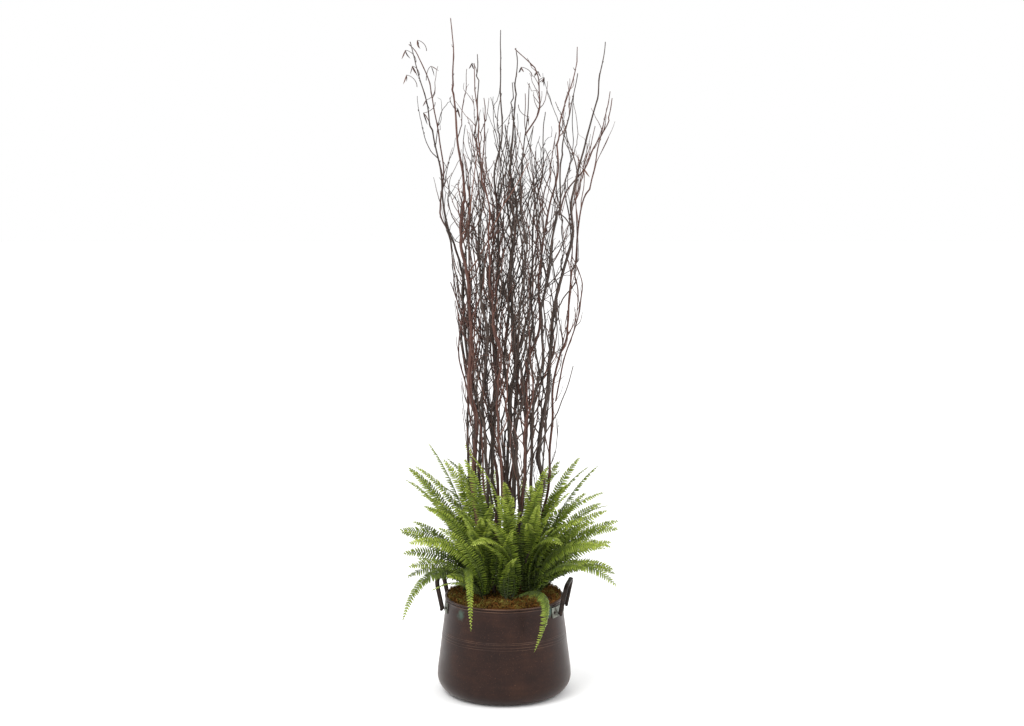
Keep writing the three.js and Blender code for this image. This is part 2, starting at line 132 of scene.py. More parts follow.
world = bpy.data.worlds.new("white_room")
world.use_nodes = True
world.node_tree.nodes["Background"].inputs["Color"].default_value = (1.0, 1.0, 1.0, 1.0)
world.node_tree.nodes["Background"].inputs["Strength"].default_value = 1.0
bpy.context.scene.world = world

SOFT_LIGHTS = [
    # name, place, size, watts
    ("key_light", Vector((-2.4, -3.0, 4.6)), 2.6, 150.0),
    ("fill_light", Vector((3.4, -1.8, 3.4)), 2.4, 60.0),
]
for name, place, size, watts in SOFT_LIGHTS:
    light_data = bpy.data.lights.new(name, "AREA")
    light_data.size = size
    light_data.energy = watts
    light = bpy.data.objects.new(name, light_data)
    light.location = place
    light.rotation_euler = (Vector((0, 0, 0.8)) - place).to_track_quat("-Z", "Y").to_euler()
    bpy.context.scene.collection.objects.link(light)

# a very wide overhead lamp that lifts the whole floor evenly to white
sky_data = bpy.data.lights.new("ceiling_glow", "SUN")
sky_data.energy = 0.5
sky_data.angle = math.radians(80)
sky = bpy.data.objects.new("ceiling_glow", sky_data)
sky.rotation_euler = (math.radians(-12), math.radians(-14), 0)
bpy.context.scene.collection.objects.link(sky)

# ---- tub ----
# Spun sheet steel, 2.5 mm thick, with a flat base, a rolled lip and four fine raised beads. It has a
# brushed-on bronze-brown finish, greened under the lip; the beads and lip carry copper bands that are
# partly wear and partly painted highlight.
MM = 0.001
TUB_SEGMENTS = 176
tub_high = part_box("tub")[1]
RIM_HEIGHT = tub_high.z
BELLY_RADIUS = tub_high.x
BASE_RADIUS = BELLY_RADIUS - 49.5 * MM
BELLY_HEIGHT = 54 * MM
CONE_START = (BELLY_RADIUS - 1 * MM, 72 * MM)
NECK = (171 * MM, 277 * MM)
LIP_RADIUS = 175.5 * MM
SHEET = 2.5 * MM
BEAD_HEIGHTS = np.array([171, 178, 187, 191.5]) * MM
BEAD_PROUD = 0.55 * MM
BEAD_HALF = 1.2 * MM
VERDIGRIS_PATCHES = np.array([[-125, -121, 258], [134, -112, 266], [60, 158, 262]]) * MM


def make_piece(name, points, quads, triangles, material, replaces=(), tone=None):
    """A smooth mesh piece from whole arrays of points, quads and triangles, given its material and
    the CAD nodes it stands for. tone is one number per point, 0 to 1."""
    quads = np.asarray(quads, np.int64).reshape(-1, 4)
    triangles = np.asarray(triangles, np.int64).reshape(-1, 3)
    corners = np.concatenate([quads.ravel(), triangles.ravel()]).astype(np.int32)
    sizes = np.concatenate([np.full(len(quads), 4), np.full(len(triangles), 3)])
    mesh = bpy.data.meshes.new(name)
    mesh.vertices.add(len(points))
    mesh.vertices.foreach_set("co", np.asarray(points, np.float32).ravel())
    mesh.loops.add(len(corners))
    mesh.loops.foreach_set("vertex_index", corners)
    mesh.polygons.add(len(sizes))
    mesh.polygons.foreach_set("loop_start", (np.cumsum(sizes) - sizes).astype(np.int32))
    mesh.polygons.foreach_set("use_smooth", np.ones(len(sizes), bool))
    mesh.update(calc_edges=True)
    if tone is not None:
        layer = mesh.attributes.new("tone", "FLOAT", "POINT")
        layer.data.foreach_set("value", np.asarray(tone, np.float32).ravel())
    mesh.materials.append(material)
    piece = bpy.data.objects.new(name, mesh)
    bpy.context.scene.collection.objects.link(piece)
    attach(piece, "root")
    if replaces:
        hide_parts(*replaces)
    return piece


def closed_grid(rows, columns):
    """Quads over a grid that closes on itself across its columns: row i is joined to row i + 1."""
    i, j = np.meshgrid(np.arange(rows - 1), np.arange(columns), indexing="ij")
    after = (j + 1) % columns
    return np.stack(
        [i * columns + j, i * columns + after, (i + 1) * columns + after, (i + 1) * columns + j],
        axis=-1,
    ).reshape(-1, 4)


def revolve(profile, segments):
    """A turned surface: every profile point (radius, height), listed from the axis under the
    piece to the axis on top with the outside on its right, swept round Z. Both ends are poles."""
    ring = profile[1:-1]
    angle = np.linspace(0, 2 * np.pi, segments, endpoint=False)
    points = np.stack(
        [ring[:, :1] * np.cos(angle), ring[:, :1] * np.sin(angle),
         np.repeat(ring[:, 1:], segments, axis=1)], axis=-1).reshape(-1, 3)
    quads = closed_grid(len(ring), segments)
    foot = len(points)
    j = np.arange(segments)
    after = (j + 1) % segments
    last = (len(ring) - 1) * segments
    triangles = np.concatenate([
        np.stack([np.full(segments, foot), after, j], axis=-1),
        np.stack([np.full(segments, foot + 1), last + j, last + after], axis=-1)])
    poles = np.array([[0, 0, profile[0, 1]], [0, 0, profile[-1, 1]]])
    return np.concatenate([points, poles]), quads, triangles


def wall_radius(height):
    """Outer radius of the cone between the belly and the neck."""
    share = (height - CONE_START[1]) / (NECK[1] - CONE_START[1])
    return CONE_START[0] + (NECK[0] - CONE_START[0]) * share


def tub_profile():
    """Outside from the base up, over the lip, and down the inside to the base again."""
    turn = np.linspace(0, np.pi / 2, 16)
    under = np.stack(
        [BASE_RADIUS + (BELLY_RADIUS - BASE_RADIUS) * np.sin(turn),
         BELLY_HEIGHT * (1 - np.cos(turn))], axis=-1)
    height = np.concatenate([
        np.linspace(CONE_START[1], BEAD_HEIGHTS[0] - 4 * MM, 12),
        np.linspace(BEAD_HEIGHTS[0] - 3.5 * MM, BEAD_HEIGHTS[-1] + 3.5 * MM, 56),
        np.linspace(BEAD_HEIGHTS[-1] + 5 * MM, NECK[1] - 1 * MM, 10)])
    beads = np.exp(-(((height[:, None] - BEAD_HEIGHTS) / (BEAD_HALF * 0.6)) ** 2)).sum(1)
    cone = np.stack([wall_radius(height) + BEAD_PROUD * beads, height], axis=-1)
    roll = np.linspace(-0.62 * np.pi, 1.0 * np.pi, 15)
    lip_half = 3.4 * MM
    lip_centre = np.array([LIP_RADIUS - lip_half, RIM_HEIGHT - lip_half])
    lip = lip_centre + lip_half * np.stack([np.cos(roll), np.sin(roll)], axis=-1)
    band = np.array([
        [NECK[0] + 0.6 * MM, NECK[1] + 0.6 * MM],
        [NECK[0] + 2.6 * MM, NECK[1] + 1.6 * MM],
        [NECK[0] + 3.3 * MM, NECK[1] + 3.2 * MM],
        [NECK[0] + 3.0 * MM, NECK[1] + 5.0 * MM],
        [NECK[0] + 1.7 * MM, NECK[1] + 6.4 * MM]])
    inside = np.stack(
        [wall_radius(height) - SHEET, height], axis=-1)[::-4]
    inner_under = np.stack(
        [BASE_RADIUS + (BELLY_RADIUS - SHEET - BASE_RADIUS) * np.sin(turn),
         SHEET + (BELLY_HEIGHT - SHEET) * (1 - np.cos(turn))], axis=-1)[::-1]
    inner_lip = np.array([[NECK[0] - SHEET, RIM_HEIGHT - 8 * MM]])
    return np.concatenate([
        [[0, 0]], [[BASE_RADIUS * 0.5, 0]], under, cone, band, lip, inner_lip, inside,
        inner_under, [[BASE_RADIUS * 0.5, SHEET]], [[0, SHEET]]])


def bronzed_steel():
    """Bronze-brown finish on steel: dark satin brown with a cloudy rub, fine freckles, copper
    bands on the beads and lip as wear and painted highlight, and a little verdigris in patches below the
    lip."""
    material, tree = new_material("bronzed_sheet_steel")
    place = add_node(tree, "ShaderNodeTexCoord").outputs["Object"]
    clouds = add_node(tree, "ShaderNodeTexNoise",
                      {"Vector": place, "Scale": 14.0, "Detail": 6.0, "Roughness": 0.62})
    rubbed = add_node(tree, "ShaderNodeMapping", {"Vector": place, "Scale": (6.0, 6.0, 38.0)})
    wipes = add_node(tree, "ShaderNodeTexNoise",
                     {"Vector": rubbed.outputs["Vector"], "Scale": 2.0, "Detail": 5.0})
    # freckles about 2 mm across
    freckles = add_node(tree, "ShaderNodeTexNoise",
                        {"Vector": place, "Scale": 420.0, "Detail": 2.0})
    brown = add_node(tree, "ShaderNodeValToRGB", {"Fac": clouds.outputs["Fac"]},
                     stops=[(0.3, "#21120d"), (0.5, "#2e1a13"), (0.72, "#40271b")])
    # inputs 6 and 7 of a Mix node are its colour pair
    wiped = add_node(tree, "ShaderNodeMix",
                     {"Factor": wipes.outputs["Fac"], 6: brown.outputs["Color"], 7: linear("#20110d")},
                     data_type="RGBA")
    speck = add_node(tree, "ShaderNodeMapRange",
                     {"Value": freckles.outputs["Fac"], "From Min": 0.64, "From Max": 0.74})
    freckled = add_node(tree, "ShaderNodeMix",
                        {"Factor": speck.outputs["Result"], 6: wiped.outputs[2], 7: linear("#54392b")},
                        data_type="RGBA")
    # copper bands, partly wear and partly painted highlight lines, where a bead or the lip stands proud
    height = add_node(tree, "ShaderNodeSeparateXYZ", {"Vector": place}).outputs["Z"]
    wear_and_highlight_bands = None
    for level, half in [(h, BEAD_HALF * 0.55) for h in BEAD_HEIGHTS] + [
        (RIM_HEIGHT - 1.0 * MM, 2.2 * MM), (NECK[1] + 4 * MM, 1.2 * MM)]:
        offset = add_node(tree, "ShaderNodeMath", {0: height, 1: float(level)},
                          operation="SUBTRACT").outputs[0]
        distance = add_node(tree, "ShaderNodeMath", {0: offset}, operation="ABSOLUTE").outputs[0]
        band = add_node(tree, "ShaderNodeMapRange",
                        {"Value": distance, "From Min": 0.0, "From Max": float(half),
                         "To Min": 1.0, "To Max": 0.0}).outputs["Result"]
        wear_and_highlight_bands = band if wear_and_highlight_bands is None else add_node(
            tree, "ShaderNodeMath", {0: wear_and_highlight_bands, 1: band}, operation="MAXIMUM").outputs[0]
    patchy = add_node(tree, "ShaderNodeMapRange",
                      {"Value": clouds.outputs["Fac"], "From Min": 0.38, "From Max": 0.62,
                       "To Min": 0.05, "To Max": 0.6}).outputs["Result"]
    copper = add_node(tree, "ShaderNodeMath", {0: wear_and_highlight_bands, 1: patchy},
                      operation="MULTIPLY").outputs[0]
    coppered = add_node(tree, "ShaderNodeMix",
                        {"Factor": copper, 6: freckled.outputs[2], 7: linear("#836451")},
                        data_type="RGBA")
    # verdigris: pale green blooms only in the 50 mm below the lip
    near_lip = add_node(tree, "ShaderNodeMapRange",
                        {"Value": height, "From Min": 0.215, "From Max": 0.265}).outputs["Result"]
    bloom = add_node(tree, "ShaderNodeTexNoise",
                     {"Vector": place, "Scale": 17.0, "Detail": 7.0, "Roughness": 0.7})
    bloomed = add_node(tree, "ShaderNodeMapRange",
                       {"Value": bloom.outputs["Fac"], "From Min": 0.66,
                        "From Max": 0.8}).outputs["Result"]
    bloom_shift = add_node(tree, "ShaderNodeMapRange",
                           {"Value": bloom.outputs["Fac"], "From Min": 0.3, "From Max": 0.7,
                            "To Min": 14 * MM, "To Max": -14 * MM}).outputs["Result"]
    sparse = bloomed
    for patch in VERDIGRIS_PATCHES:
        away = add_node(tree, "ShaderNodeVectorMath", {0: place, 1: tuple(patch)},
                        operation="DISTANCE").outputs["Value"]
        ragged = add_node(tree, "ShaderNodeMath", {0: away, 1: bloom_shift},
                          operation="ADD").outputs[0]
        spot = add_node(tree, "ShaderNodeMapRange",
                        {"Value": ragged, "From Min": 8 * MM, "From Max": 20 * MM,
                         "To Min": 0.75, "To Max": 0.0}).outputs["Result"]
        sparse = add_node(tree, "ShaderNodeMath", {0: sparse, 1: spot},
                          operation="MAXIMUM").outputs[0]
    green = add_node(tree, "ShaderNodeMath", {0: near_lip, 1: sparse},
                     operation="MULTIPLY").outputs[0]
    greened = add_node(tree, "ShaderNodeMix",
                       {"Factor": green, 6: coppered.outputs[2], 7: linear("#4b6257")},
                       data_type="RGBA")
    gloss = add_node(tree, "ShaderNodeMapRange",
                     {"Value": clouds.outputs["Fac"], "From Min": 0.3, "From Max": 0.7,
                      "To Min": 0.3, "To Max": 0.46}).outputs["Result"]
    relief = add_node(tree, "ShaderNodeTexNoise",
                      {"Vector": place, "Scale": 90.0, "Detail": 4.0})
    bump = add_node(tree, "ShaderNodeBump",
                    {"Height": relief.outputs["Fac"], "Strength": 0.15, "Distance": 0.6 * MM})
    shade(tree, {"Base Color": greened.outputs[2], "Metallic": 0.35, "Roughness": gloss,
                 "Specular IOR Level": 0.3, "Sheen Weight": 0.22, "Sheen Roughness": 0.28,
                 "Sheen Tint": linear("#e8d6cc"), "Normal": bump.outputs["Normal"]})
    return material


tub_points, tub_quads, tub_triangles = revolve(tub_profile(), TUB_SEGMENTS)
# hand-spun: the wall wanders by up to half a millimetre
bearing = np.arctan2(tub_points[:, 1], tub_points[:, 0])
wander = 0.5 * MM * np.sin(3 * bearing + 9 * tub_points[:, 2]) * np.sin(12 * tub_points[:, 2])
tub_points[:, :2] *= 1 - np.abs(wander[:, None]) / BELLY_RADIUS
bronze = bronzed_steel()
make_piece("tub_sheet", tub_points, tub_quads, tub_triangles, bronze, ["tub"])

# ---- ear plates ----
# A strip of sheet steel 2 mm thick, bent to the wall just under the lip, where each handle is
# fixed. Its paint has gone, and what shows is dull grey-green weathered metal.
EAR_HALF_ANGLE = math.radians(27)
EAR_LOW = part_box("ear_plate_right")[0].z
EAR_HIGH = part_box("ear_plate_right")[1].z
EAR_THICK = 2 * MM
EAR_CLEAR = 0.9 * MM
RIGHT_AZIMUTH = math.radians(-10)
LEFT_AZIMUTH = math.radians(172)
SIDES = [("right", RIGHT_AZIMUTH), ("left", LEFT_AZIMUTH)]


def rounded_section(half_across, half_deep, count, power=4.0):
    """A rounded rectangle: a superellipse of that power, as count points round its centre."""
    turn = np.linspace(0, 2 * np.pi, count, endpoint=False) + np.pi / count
    across = np.sign(np.cos(turn)) * np.abs(np.cos(turn)) ** (2 / power) * half_across
    deep = np.sign(np.sin(turn)) * np.abs(np.sin(turn)) ** (2 / power) * half_deep
    return np.stack([across, deep], axis=-1)


def sweep(centres, first, second, section):
    """A section carried along a path: at each centre its points lie along the two unit vectors
    first and second, whose cross product points back down the path. Ends close on a point."""
    rings = (centres[:, None] + section[None, :, :1] * first[:, None]
             + section[None, :, 1:] * second[:, None])
    count = len(section)
    points = np.concatenate([rings.reshape(-1, 3), centres[:1], centres[-1:]])
    j = np.arange(count)
    after = (j + 1) % count
    foot = len(centres) * count
    last = foot - count
    triangles = np.concatenate([
        np.stack([np.full(count, foot), after, j], axis=-1),
        np.stack([np.full(count, foot + 1), last + j, last + after], axis=-1)])
    return points, closed_grid(len(centres), count), triangles


def weathered_steel():
    """Bare weathered steel: chalky grey-green with darker stains, dull and a little rough."""
    material, tree = new_material("weathered_grey_green_steel")
    place = add_node(tree, "ShaderNodeTexCoord").outputs["Object"]
    stains = add_node(tree, "ShaderNodeTexNoise",
                      {"Vector": place, "Scale": 60.0, "Detail": 7.0, "Roughness": 0.7})
    tint = add_node(tree, "ShaderNodeValToRGB", {"Fac": stains.outputs["Fac"]},
                    stops=[(0.3, "#2e2a25"), (0.45, "#5f5f55"), (0.6, "#8d9086"),
                           (0.75, "#6f7a70")])
    bump = add_node(tree, "ShaderNodeBump",
                    {"Height": stains.outputs["Fac"], "Strength": 0.4, "Distance": 0.4 * MM})
    shade(tree, {"Base Color": tint.outputs["Color"], "Metallic": 0.45, "Roughness": 0.5,
                 "Normal": bump.outputs["Normal"]})
    return material


weathered = weathered_steel()
for side, azimuth in SIDES:
    angle = azimuth + np.linspace(-EAR_HALF_ANGLE, EAR_HALF_ANGLE, 49)
    middle_height = (EAR_LOW + EAR_HIGH) / 2
    radius = wall_radius(middle_height) + EAR_CLEAR + EAR_THICK / 2
    outward = np.stack([np.cos(angle), np.sin(angle), np.zeros_like(angle)], axis=-1)
    slope = (NECK[0] - CONE_START[0]) / (NECK[1] - CONE_START[1])
    up = outward * slope + np.array([0, 0, 1.0])
    up /= np.linalg.norm(up, axis=1, keepdims=True)
    centres = outward * radius + np.array([0, 0, middle_height])
    section = rounded_section(EAR_THICK / 2, (EAR_HIGH - EAR_LOW) / 2, 24, 6.0)
    plate = sweep(centres, outward, -up, section)
    points, quads, triangles = plate
    make_piece(f"ear_{side}", points, quads[:, ::-1], triangles[:, ::-1], weathered,
               [f"ear_plate_{side}"])

# ---- handles ----
# Forged iron strap bent into an upright loop, 13 mm deep and 9 mm thick with rounded edges, its
# feet curled and fixed on the ear plate. Black-brown, polished by hands along the top.
HANDLE_HALF_WIDTH = 55 * MM
HANDLE_FOOT = np.array([175.5, 0, 253]) * MM
HANDLE_TOP = np.array([193.0, 0, 337]) * MM
HANDLE_CORNER = 22 * MM
CURL_RADIUS = 4.6 * MM


def forged_iron():
    """Old forged iron: near black with brown rust in the hollows, satin where it is handled."""
    material, tree = new_material("forged_black_iron")
    place = add_node(tree, "ShaderNodeTexCoord").outputs["Object"]
    scale = add_node(tree, "ShaderNodeTexNoise",
                     {"Vector": place, "Scale": 110.0, "Detail": 6.0, "Roughness": 0.65})
    tint = add_node(tree, "ShaderNodeValToRGB", {"Fac": scale.outputs["Fac"]},
                    stops=[(0.35, "#1f1a18"), (0.55, "#332a26"), (0.75, "#5b4638")])
    gloss = add_node(tree, "ShaderNodeMapRange",
                     {"Value": scale.outputs["Fac"], "From Min": 0.3, "From Max": 0.7,
                      "To Min": 0.36, "To Max": 0.6}).outputs["Result"]
    bump = add_node(tree, "ShaderNodeBump",
                    {"Height": scale.outputs["Fac"], "Strength": 0.35, "Distance": 0.7 * MM})
    shade(tree, {"Base Color": tint.outputs["Color"], "Metallic": 0.8, "Roughness": gloss,
                 "Normal": bump.outputs["Normal"]})
    return material


def turned_about_z(points, angle):
    """Points turned about the Z axis by an angle."""
    c, s = math.cos(angle), math.sin(angle)
    return np.asarray(points) @ np.array([[c, s, 0], [-s, c, 0], [0, 0, 1]])


def handle_path():
    """Centre line at azimuth 0, in the strap's own plane: across, along. It starts in a curl at
    one foot, goes up, round a corner, across, round a corner and down to the other curl."""
    rise = HANDLE_TOP - HANDLE_FOOT
    tall = np.linalg.norm(rise)
    w, c = HANDLE_HALF_WIDTH, HANDLE_CORNER
    corner = np.linspace(0, np.pi / 2, 12)
    left_leg = np.stack([np.full(14, -w), np.linspace(0, tall - c, 14)], axis=-1)
    left_corner = np.stack([-w + c * (1 - np.cos(corner)), tall - c + c * np.sin(corner)], axis=-1)
    top = np.stack([np.linspace(c - w, w - c, 14), np.full(14, tall)], axis=-1)
    half = np.concatenate([left_leg, left_corner[1:], top[1:7]])
    return np.concatenate([half, half[::-1] * np.array([-1, 1])])


iron = forged_iron()
across_along = handle_path()
rise_way = (HANDLE_TOP - HANDLE_FOOT) / np.linalg.norm(HANDLE_TOP - HANDLE_FOOT)
across_way = np.array([0, 1.0, 0])
facing = np.cross(across_way, rise_way)
loop_line = (HANDLE_FOOT + across_along[:, :1] * across_way + across_along[:, 1:] * rise_way)
loop_tangent = np.gradient(loop_line, axis=0)
loop_tangent /= np.linalg.norm(loop_tangent, axis=1, keepdims=True)
loop_side = np.cross(loop_tangent, facing)
curl_turn = np.linspace(0, 2 * np.pi, 24, endpoint=False)
for side, azimuth in SIDES:
    strap = sweep(loop_line, loop_side, np.repeat(-facing[None], len(loop_line), 0),
                  rounded_section(4.6 * MM, 6.5 * MM, 20, 3.0))
    points = [strap[0]]
    quads = [strap[1][:, ::-1]]
    triangles = [strap[2][:, ::-1]]
    for end in (-1, 1):
        # each foot is rolled up into a short eye lying across the leg
        line = np.array([[0, end * HANDLE_HALF_WIDTH + s, 0] for s in np.linspace(-6.6, 6.6, 6) * MM])
        line += HANDLE_FOOT + np.array([2.5, 0, 0]) * MM
        lower = np.concatenate([[0.75], np.ones(4), [0.75]])
        ring = np.stack([np.cos(curl_turn), np.sin(curl_turn)], axis=-1) * CURL_RADIUS
        eye = sweep(line, np.repeat([[1.0, 0, 0]], 6, 0) * lower[:, None],
                    np.repeat([[0, 0, -1.0]], 6, 0) * lower[:, None], ring)
        start = sum(len(part) for part in points)
        points.append(eye[0])
        quads.append(eye[1] + start)
        triangles.append(eye[2] + start)
    make_piece(f"handle_loop_{side}", turned_about_z(np.concatenate(points), azimuth),
               np.concatenate(quads), np.concatenate(triangles), iron,
               [f"handle_{side}"])

# ---- rivets ----
# Round-headed iron rivets, 8 mm across the head, through each end of each ear plate.
RIVET_HEAD = 4.2 * MM
RIVET_RISE = 2.4 * MM
for side, azimuth in SIDES:
    for letter in ("a", "b"):
        node_name = f"rivet_{side}_{letter}"
        low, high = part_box(node_name)
        middle = np.array((low + high) / 2)
        way = math.atan2(middle[1], middle[0])
        seat = wall_radius(middle[2]) + EAR_CLEAR + EAR_THICK
        dome = np.linspace(0, np.pi / 2, 8)
        profile = np.concatenate([
            [[0, -6 * MM], [2 * MM, -6 * MM], [2 * MM, 0.2 * MM], [RIVET_HEAD, 0.2 * MM]],
            np.stack([RIVET_HEAD * np.cos(dome), 0.5 * MM + RIVET_RISE * np.sin(dome)], axis=-1)])
        profile[-1, 0] = 0
        points, quads, triangles = revolve(profile, 20)
        lying = points[:, [2, 1, 0]] * np.array([1, 1, -1]) + np.array([seat, 0, middle[2]])
        make_piece(f"{node_name}_head", turned_about_z(lying, way), quads, triangles, iron,
                   [node_name])

# ---- potting soil ----
# Dark peaty potting mix that fills the tub and grips the branches. Only crumbs of it would show
# between the moss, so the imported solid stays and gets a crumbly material.
soil_dark, tree = new_material("peat_potting_soil")
place = add_node(tree, "ShaderNodeTexCoord").outputs["Object"]
crumbs = add_node(tree, "ShaderNodeTexNoise",
                  {"Vector": place, "Scale": 160.0, "Detail": 8.0, "Roughness": 0.75})
tint = add_node(tree, "ShaderNodeValToRGB", {"Fac": crumbs.outputs["Fac"]},
                stops=[(0.35, "#17100c"), (0.6, "#33241a"), (0.75, "#5a4431")])
bump = add_node(tree, "ShaderNodeBump",
                {"Height": crumbs.outputs["Fac"], "Strength": 0.9, "Distance": 3 * MM})
shade(tree, {"Base Color": tint.outputs["Color"], "Roughness": 0.95,
             "Normal": bump.outputs["Normal"]})
soil = frame["nodes"]["potting_soil"]
soil.data.materials.clear()
soil.data.materials.append(soil_dark)

# ---- moss ----
# Dried sheet moss packed over the soil up to the lip: a lumpy brown mat, and on it thousands of
# curly strands from rust-orange through brown to olive and yellow-green.
rng = np.random.default_rng(11)
MOSS_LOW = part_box("moss_mat")[0].z
MOSS_RADIUS = NECK[0] - SHEET - 0.8 * MM
MOSS_EDGE_HEIGHT = RIM_HEIGHT - 4 * MM
MOSS_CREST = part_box("moss_mat")[1].z


def lumps(x, y):
    """Rolling lumps from crossed waves of three sizes, about -1 to 1."""
    wide = np.sin(x / 0.031 + 1.3) * np.cos(y / 0.027 - 0.4)
    small = np.sin(x / 0.011 + 2 * np.cos(y / 0.017)) * np.cos(y / 0.012 + 1.1)
    fine = np.sin(x / 0.0041 + np.sin(y / 0.006)) * np.sin(y / 0.0047 + 0.7)
    return 0.55 * wide + 0.3 * small + 0.15 * fine


def moss_height(x, y):
    """Height of the mat: a low dome that sinks to the lip, with lumps on it."""
    share = np.clip(np.hypot(x, y) / MOSS_RADIUS, 0, 1)
    dome = MOSS_EDGE_HEIGHT + (MOSS_CREST - MOSS_EDGE_HEIGHT) * (1 - share**3.2)
    # the mat is heaped a little higher against the right of the tub
    heap = 9 * MM * np.exp(-(((x - 0.125) / 0.05) ** 2 + ((y + 0.02) / 0.09) ** 2))
    return dome + heap + 9 * MM * lumps(x, y) * (1 - 0.4 * share**6)


def tubes(paths, radii, sides):
    """Round rods along many paths at once. paths is (rods, steps, 3) and radii (rods, steps).
    Each ring is square to its path, and both ends close on a point. Returns points (and for
    each the number of its rod), quads and triangles."""
    rods, steps, _ = paths.shape
    along = np.gradient(paths, axis=1)
    along /= np.linalg.norm(along, axis=2, keepdims=True) + 1e-12
    steepest = np.abs(along.mean(axis=1))
    guide = np.eye(3)[np.argmin(steepest, axis=1)][:, None, :]
    first = guide - (guide * along).sum(2, keepdims=True) * along
    first /= np.linalg.norm(first, axis=2, keepdims=True) + 1e-12
    second = np.cross(along, first)
    angle = np.linspace(0, 2 * np.pi, sides, endpoint=False)
    rings = (paths[:, :, None]
             + radii[:, :, None, None] * (np.cos(angle)[:, None] * first[:, :, None]
                                          + np.sin(angle)[:, None] * second[:, :, None]))
    tips = np.stack([paths[:, 0] - along[:, 0] * radii[:, :1] * 0.5,
                     paths[:, -1] + along[:, -1] * radii[:, -1:] * 0.9], axis=1)
    points = np.concatenate([rings.reshape(rods, -1, 3), tips], axis=1)
    each = steps * sides + 2
    start = (np.arange(rods) * each)[:, None, None]
    j = np.arange(sides)
    after = (j + 1) % sides
    last = (steps - 1) * sides
    quads = (closed_grid(steps, sides)[None] + start).reshape(-1, 4)
    caps = np.concatenate([
        np.stack([np.full(sides, each - 2), after, j], axis=-1),
        np.stack([np.full(sides, each - 1), last + j, last + after], axis=-1)])
    triangles = (caps[None] + start).reshape(-1, 3)
    owner = np.repeat(np.arange(rods), each)
    return points.reshape(-1, 3), owner, quads, triangles


def moss_material(name, low, middle, high, top):
    """Dry moss: matt, its colour set strand by strand from the tone attribute."""
    material, tree = new_material(name)
    tone = add_node(tree, "ShaderNodeAttribute", attribute_name="tone").outputs["Fac"]
    place = add_node(tree, "ShaderNodeTexCoord").outputs["Object"]
    patches = add_node(tree, "ShaderNodeTexNoise",
                       {"Vector": place, "Scale": 26.0, "Detail": 3.0})
    strong = add_node(tree, "ShaderNodeMapRange",
                      {"Value": patches.outputs["Fac"], "From Min": 0.32,
                       "From Max": 0.68}).outputs["Result"]
    mixed = add_node(tree, "ShaderNodeMath", {0: tone, 1: strong}, operation="ADD").outputs[0]
    halved = add_node(tree, "ShaderNodeMath", {0: mixed, 1: 0.5}, operation="MULTIPLY").outputs[0]
    tint = add_node(tree, "ShaderNodeValToRGB", {"Fac": halved},
                    stops=[(0.12, low), (0.34, middle), (0.6, high), (0.85, top)])
    shade(tree, {"Base Color": tint.outputs["Color"], "Roughness": 0.9,
                 "Specular IOR Level": 0.2})
    return material


moss_dry = moss_material("dried_sheet_moss", "#231407", "#704517", "#6a5623", "#8a8340")
ring_share = np.linspace(0, 1, 60)[1:]
MAT_SEGMENTS = 180
angle = np.linspace(0, 2 * np.pi, MAT_SEGMENTS, endpoint=False)
x = MOSS_RADIUS * ring_share[:, None] * np.cos(angle)
y = MOSS_RADIUS * ring_share[:, None] * np.sin(angle)
top_rings = np.stack([x, y, moss_height(x, y)], axis=-1)[::-1]
under_ring = np.stack([x[-1], y[-1], np.full(MAT_SEGMENTS, MOSS_LOW)], axis=-1)[None]
mat_points = np.concatenate([
    np.concatenate([under_ring, top_rings]).reshape(-1, 3),
    [[0, 0, MOSS_LOW], [0, 0, moss_height(0.0, 0.0)]]])
j = np.arange(MAT_SEGMENTS)
after = (j + 1) % MAT_SEGMENTS
foot = len(top_rings) * MAT_SEGMENTS + MAT_SEGMENTS
last = foot - MAT_SEGMENTS
mat_triangles = np.concatenate([
    np.stack([np.full(MAT_SEGMENTS, foot), after, j], axis=-1),
    np.stack([np.full(MAT_SEGMENTS, foot + 1), last + j, last + after], axis=-1)])
mat_tone = 0.25 + 0.35 * lumps(mat_points[:, 0] * 1.7, mat_points[:, 1] * 1.9)
make_piece("moss_sheet", mat_points, closed_grid(len(top_rings) + 1, MAT_SEGMENTS), mat_triangles,
           moss_dry, ["moss_mat"], mat_tone)

STRANDS = 4600
STRAND_STEPS = 6


def moss_strands(count, lift, spread, radius):
    """Curly strands: each starts on the mat and wanders by a few millimetres a step, its heading
    turning steadily, rising and sinking back."""
    where = MOSS_RADIUS * np.sqrt(rng.random(count)) * 0.985
    bearing = rng.random(count) * 2 * np.pi
    start = np.stack([where * np.cos(bearing), where * np.sin(bearing)], axis=-1)
    heading = rng.random(count) * 2 * np.pi
    turning = rng.normal(0, 0.8, count)
    step = np.arange(STRAND_STEPS)
    way = heading[:, None] + turning[:, None] * step
    stride = spread * (0.5 + rng.random(count))[:, None]
    x = start[:, :1] + np.cumsum(stride * np.cos(way), axis=1)
    y = start[:, 1:] + np.cumsum(stride * np.sin(way), axis=1)
    out = np.hypot(x, y)
    inside = np.minimum(1, (MOSS_RADIUS - 1 * MM) / out)
    x, y = x * inside, y * inside
    arch = np.sin(np.linspace(0.1, np.pi, STRAND_STEPS)) * lift * rng.random(count)[:, None]
    z = moss_height(x, y) + arch + 0.4 * MM
    paths = np.stack([x, y, z], axis=-1)
    radii = radius * (0.7 + 0.6 * rng.random(count))[:, None] * np.linspace(1, 0.45, STRAND_STEPS)
    points, owner, quads, triangles = tubes(paths, radii, 3)
    tone = rng.random(count)[owner] * 0.95 + 0.12 * lumps(points[:, 0] * 2, points[:, 1] * 2)
    return points, quads, triangles, tone


points, quads, triangles, tone = moss_strands(STRANDS, 15 * MM, 3.4 * MM, 1.0 * MM)
make_piece("moss_strands", points, quads, triangles, moss_dry, (), tone)

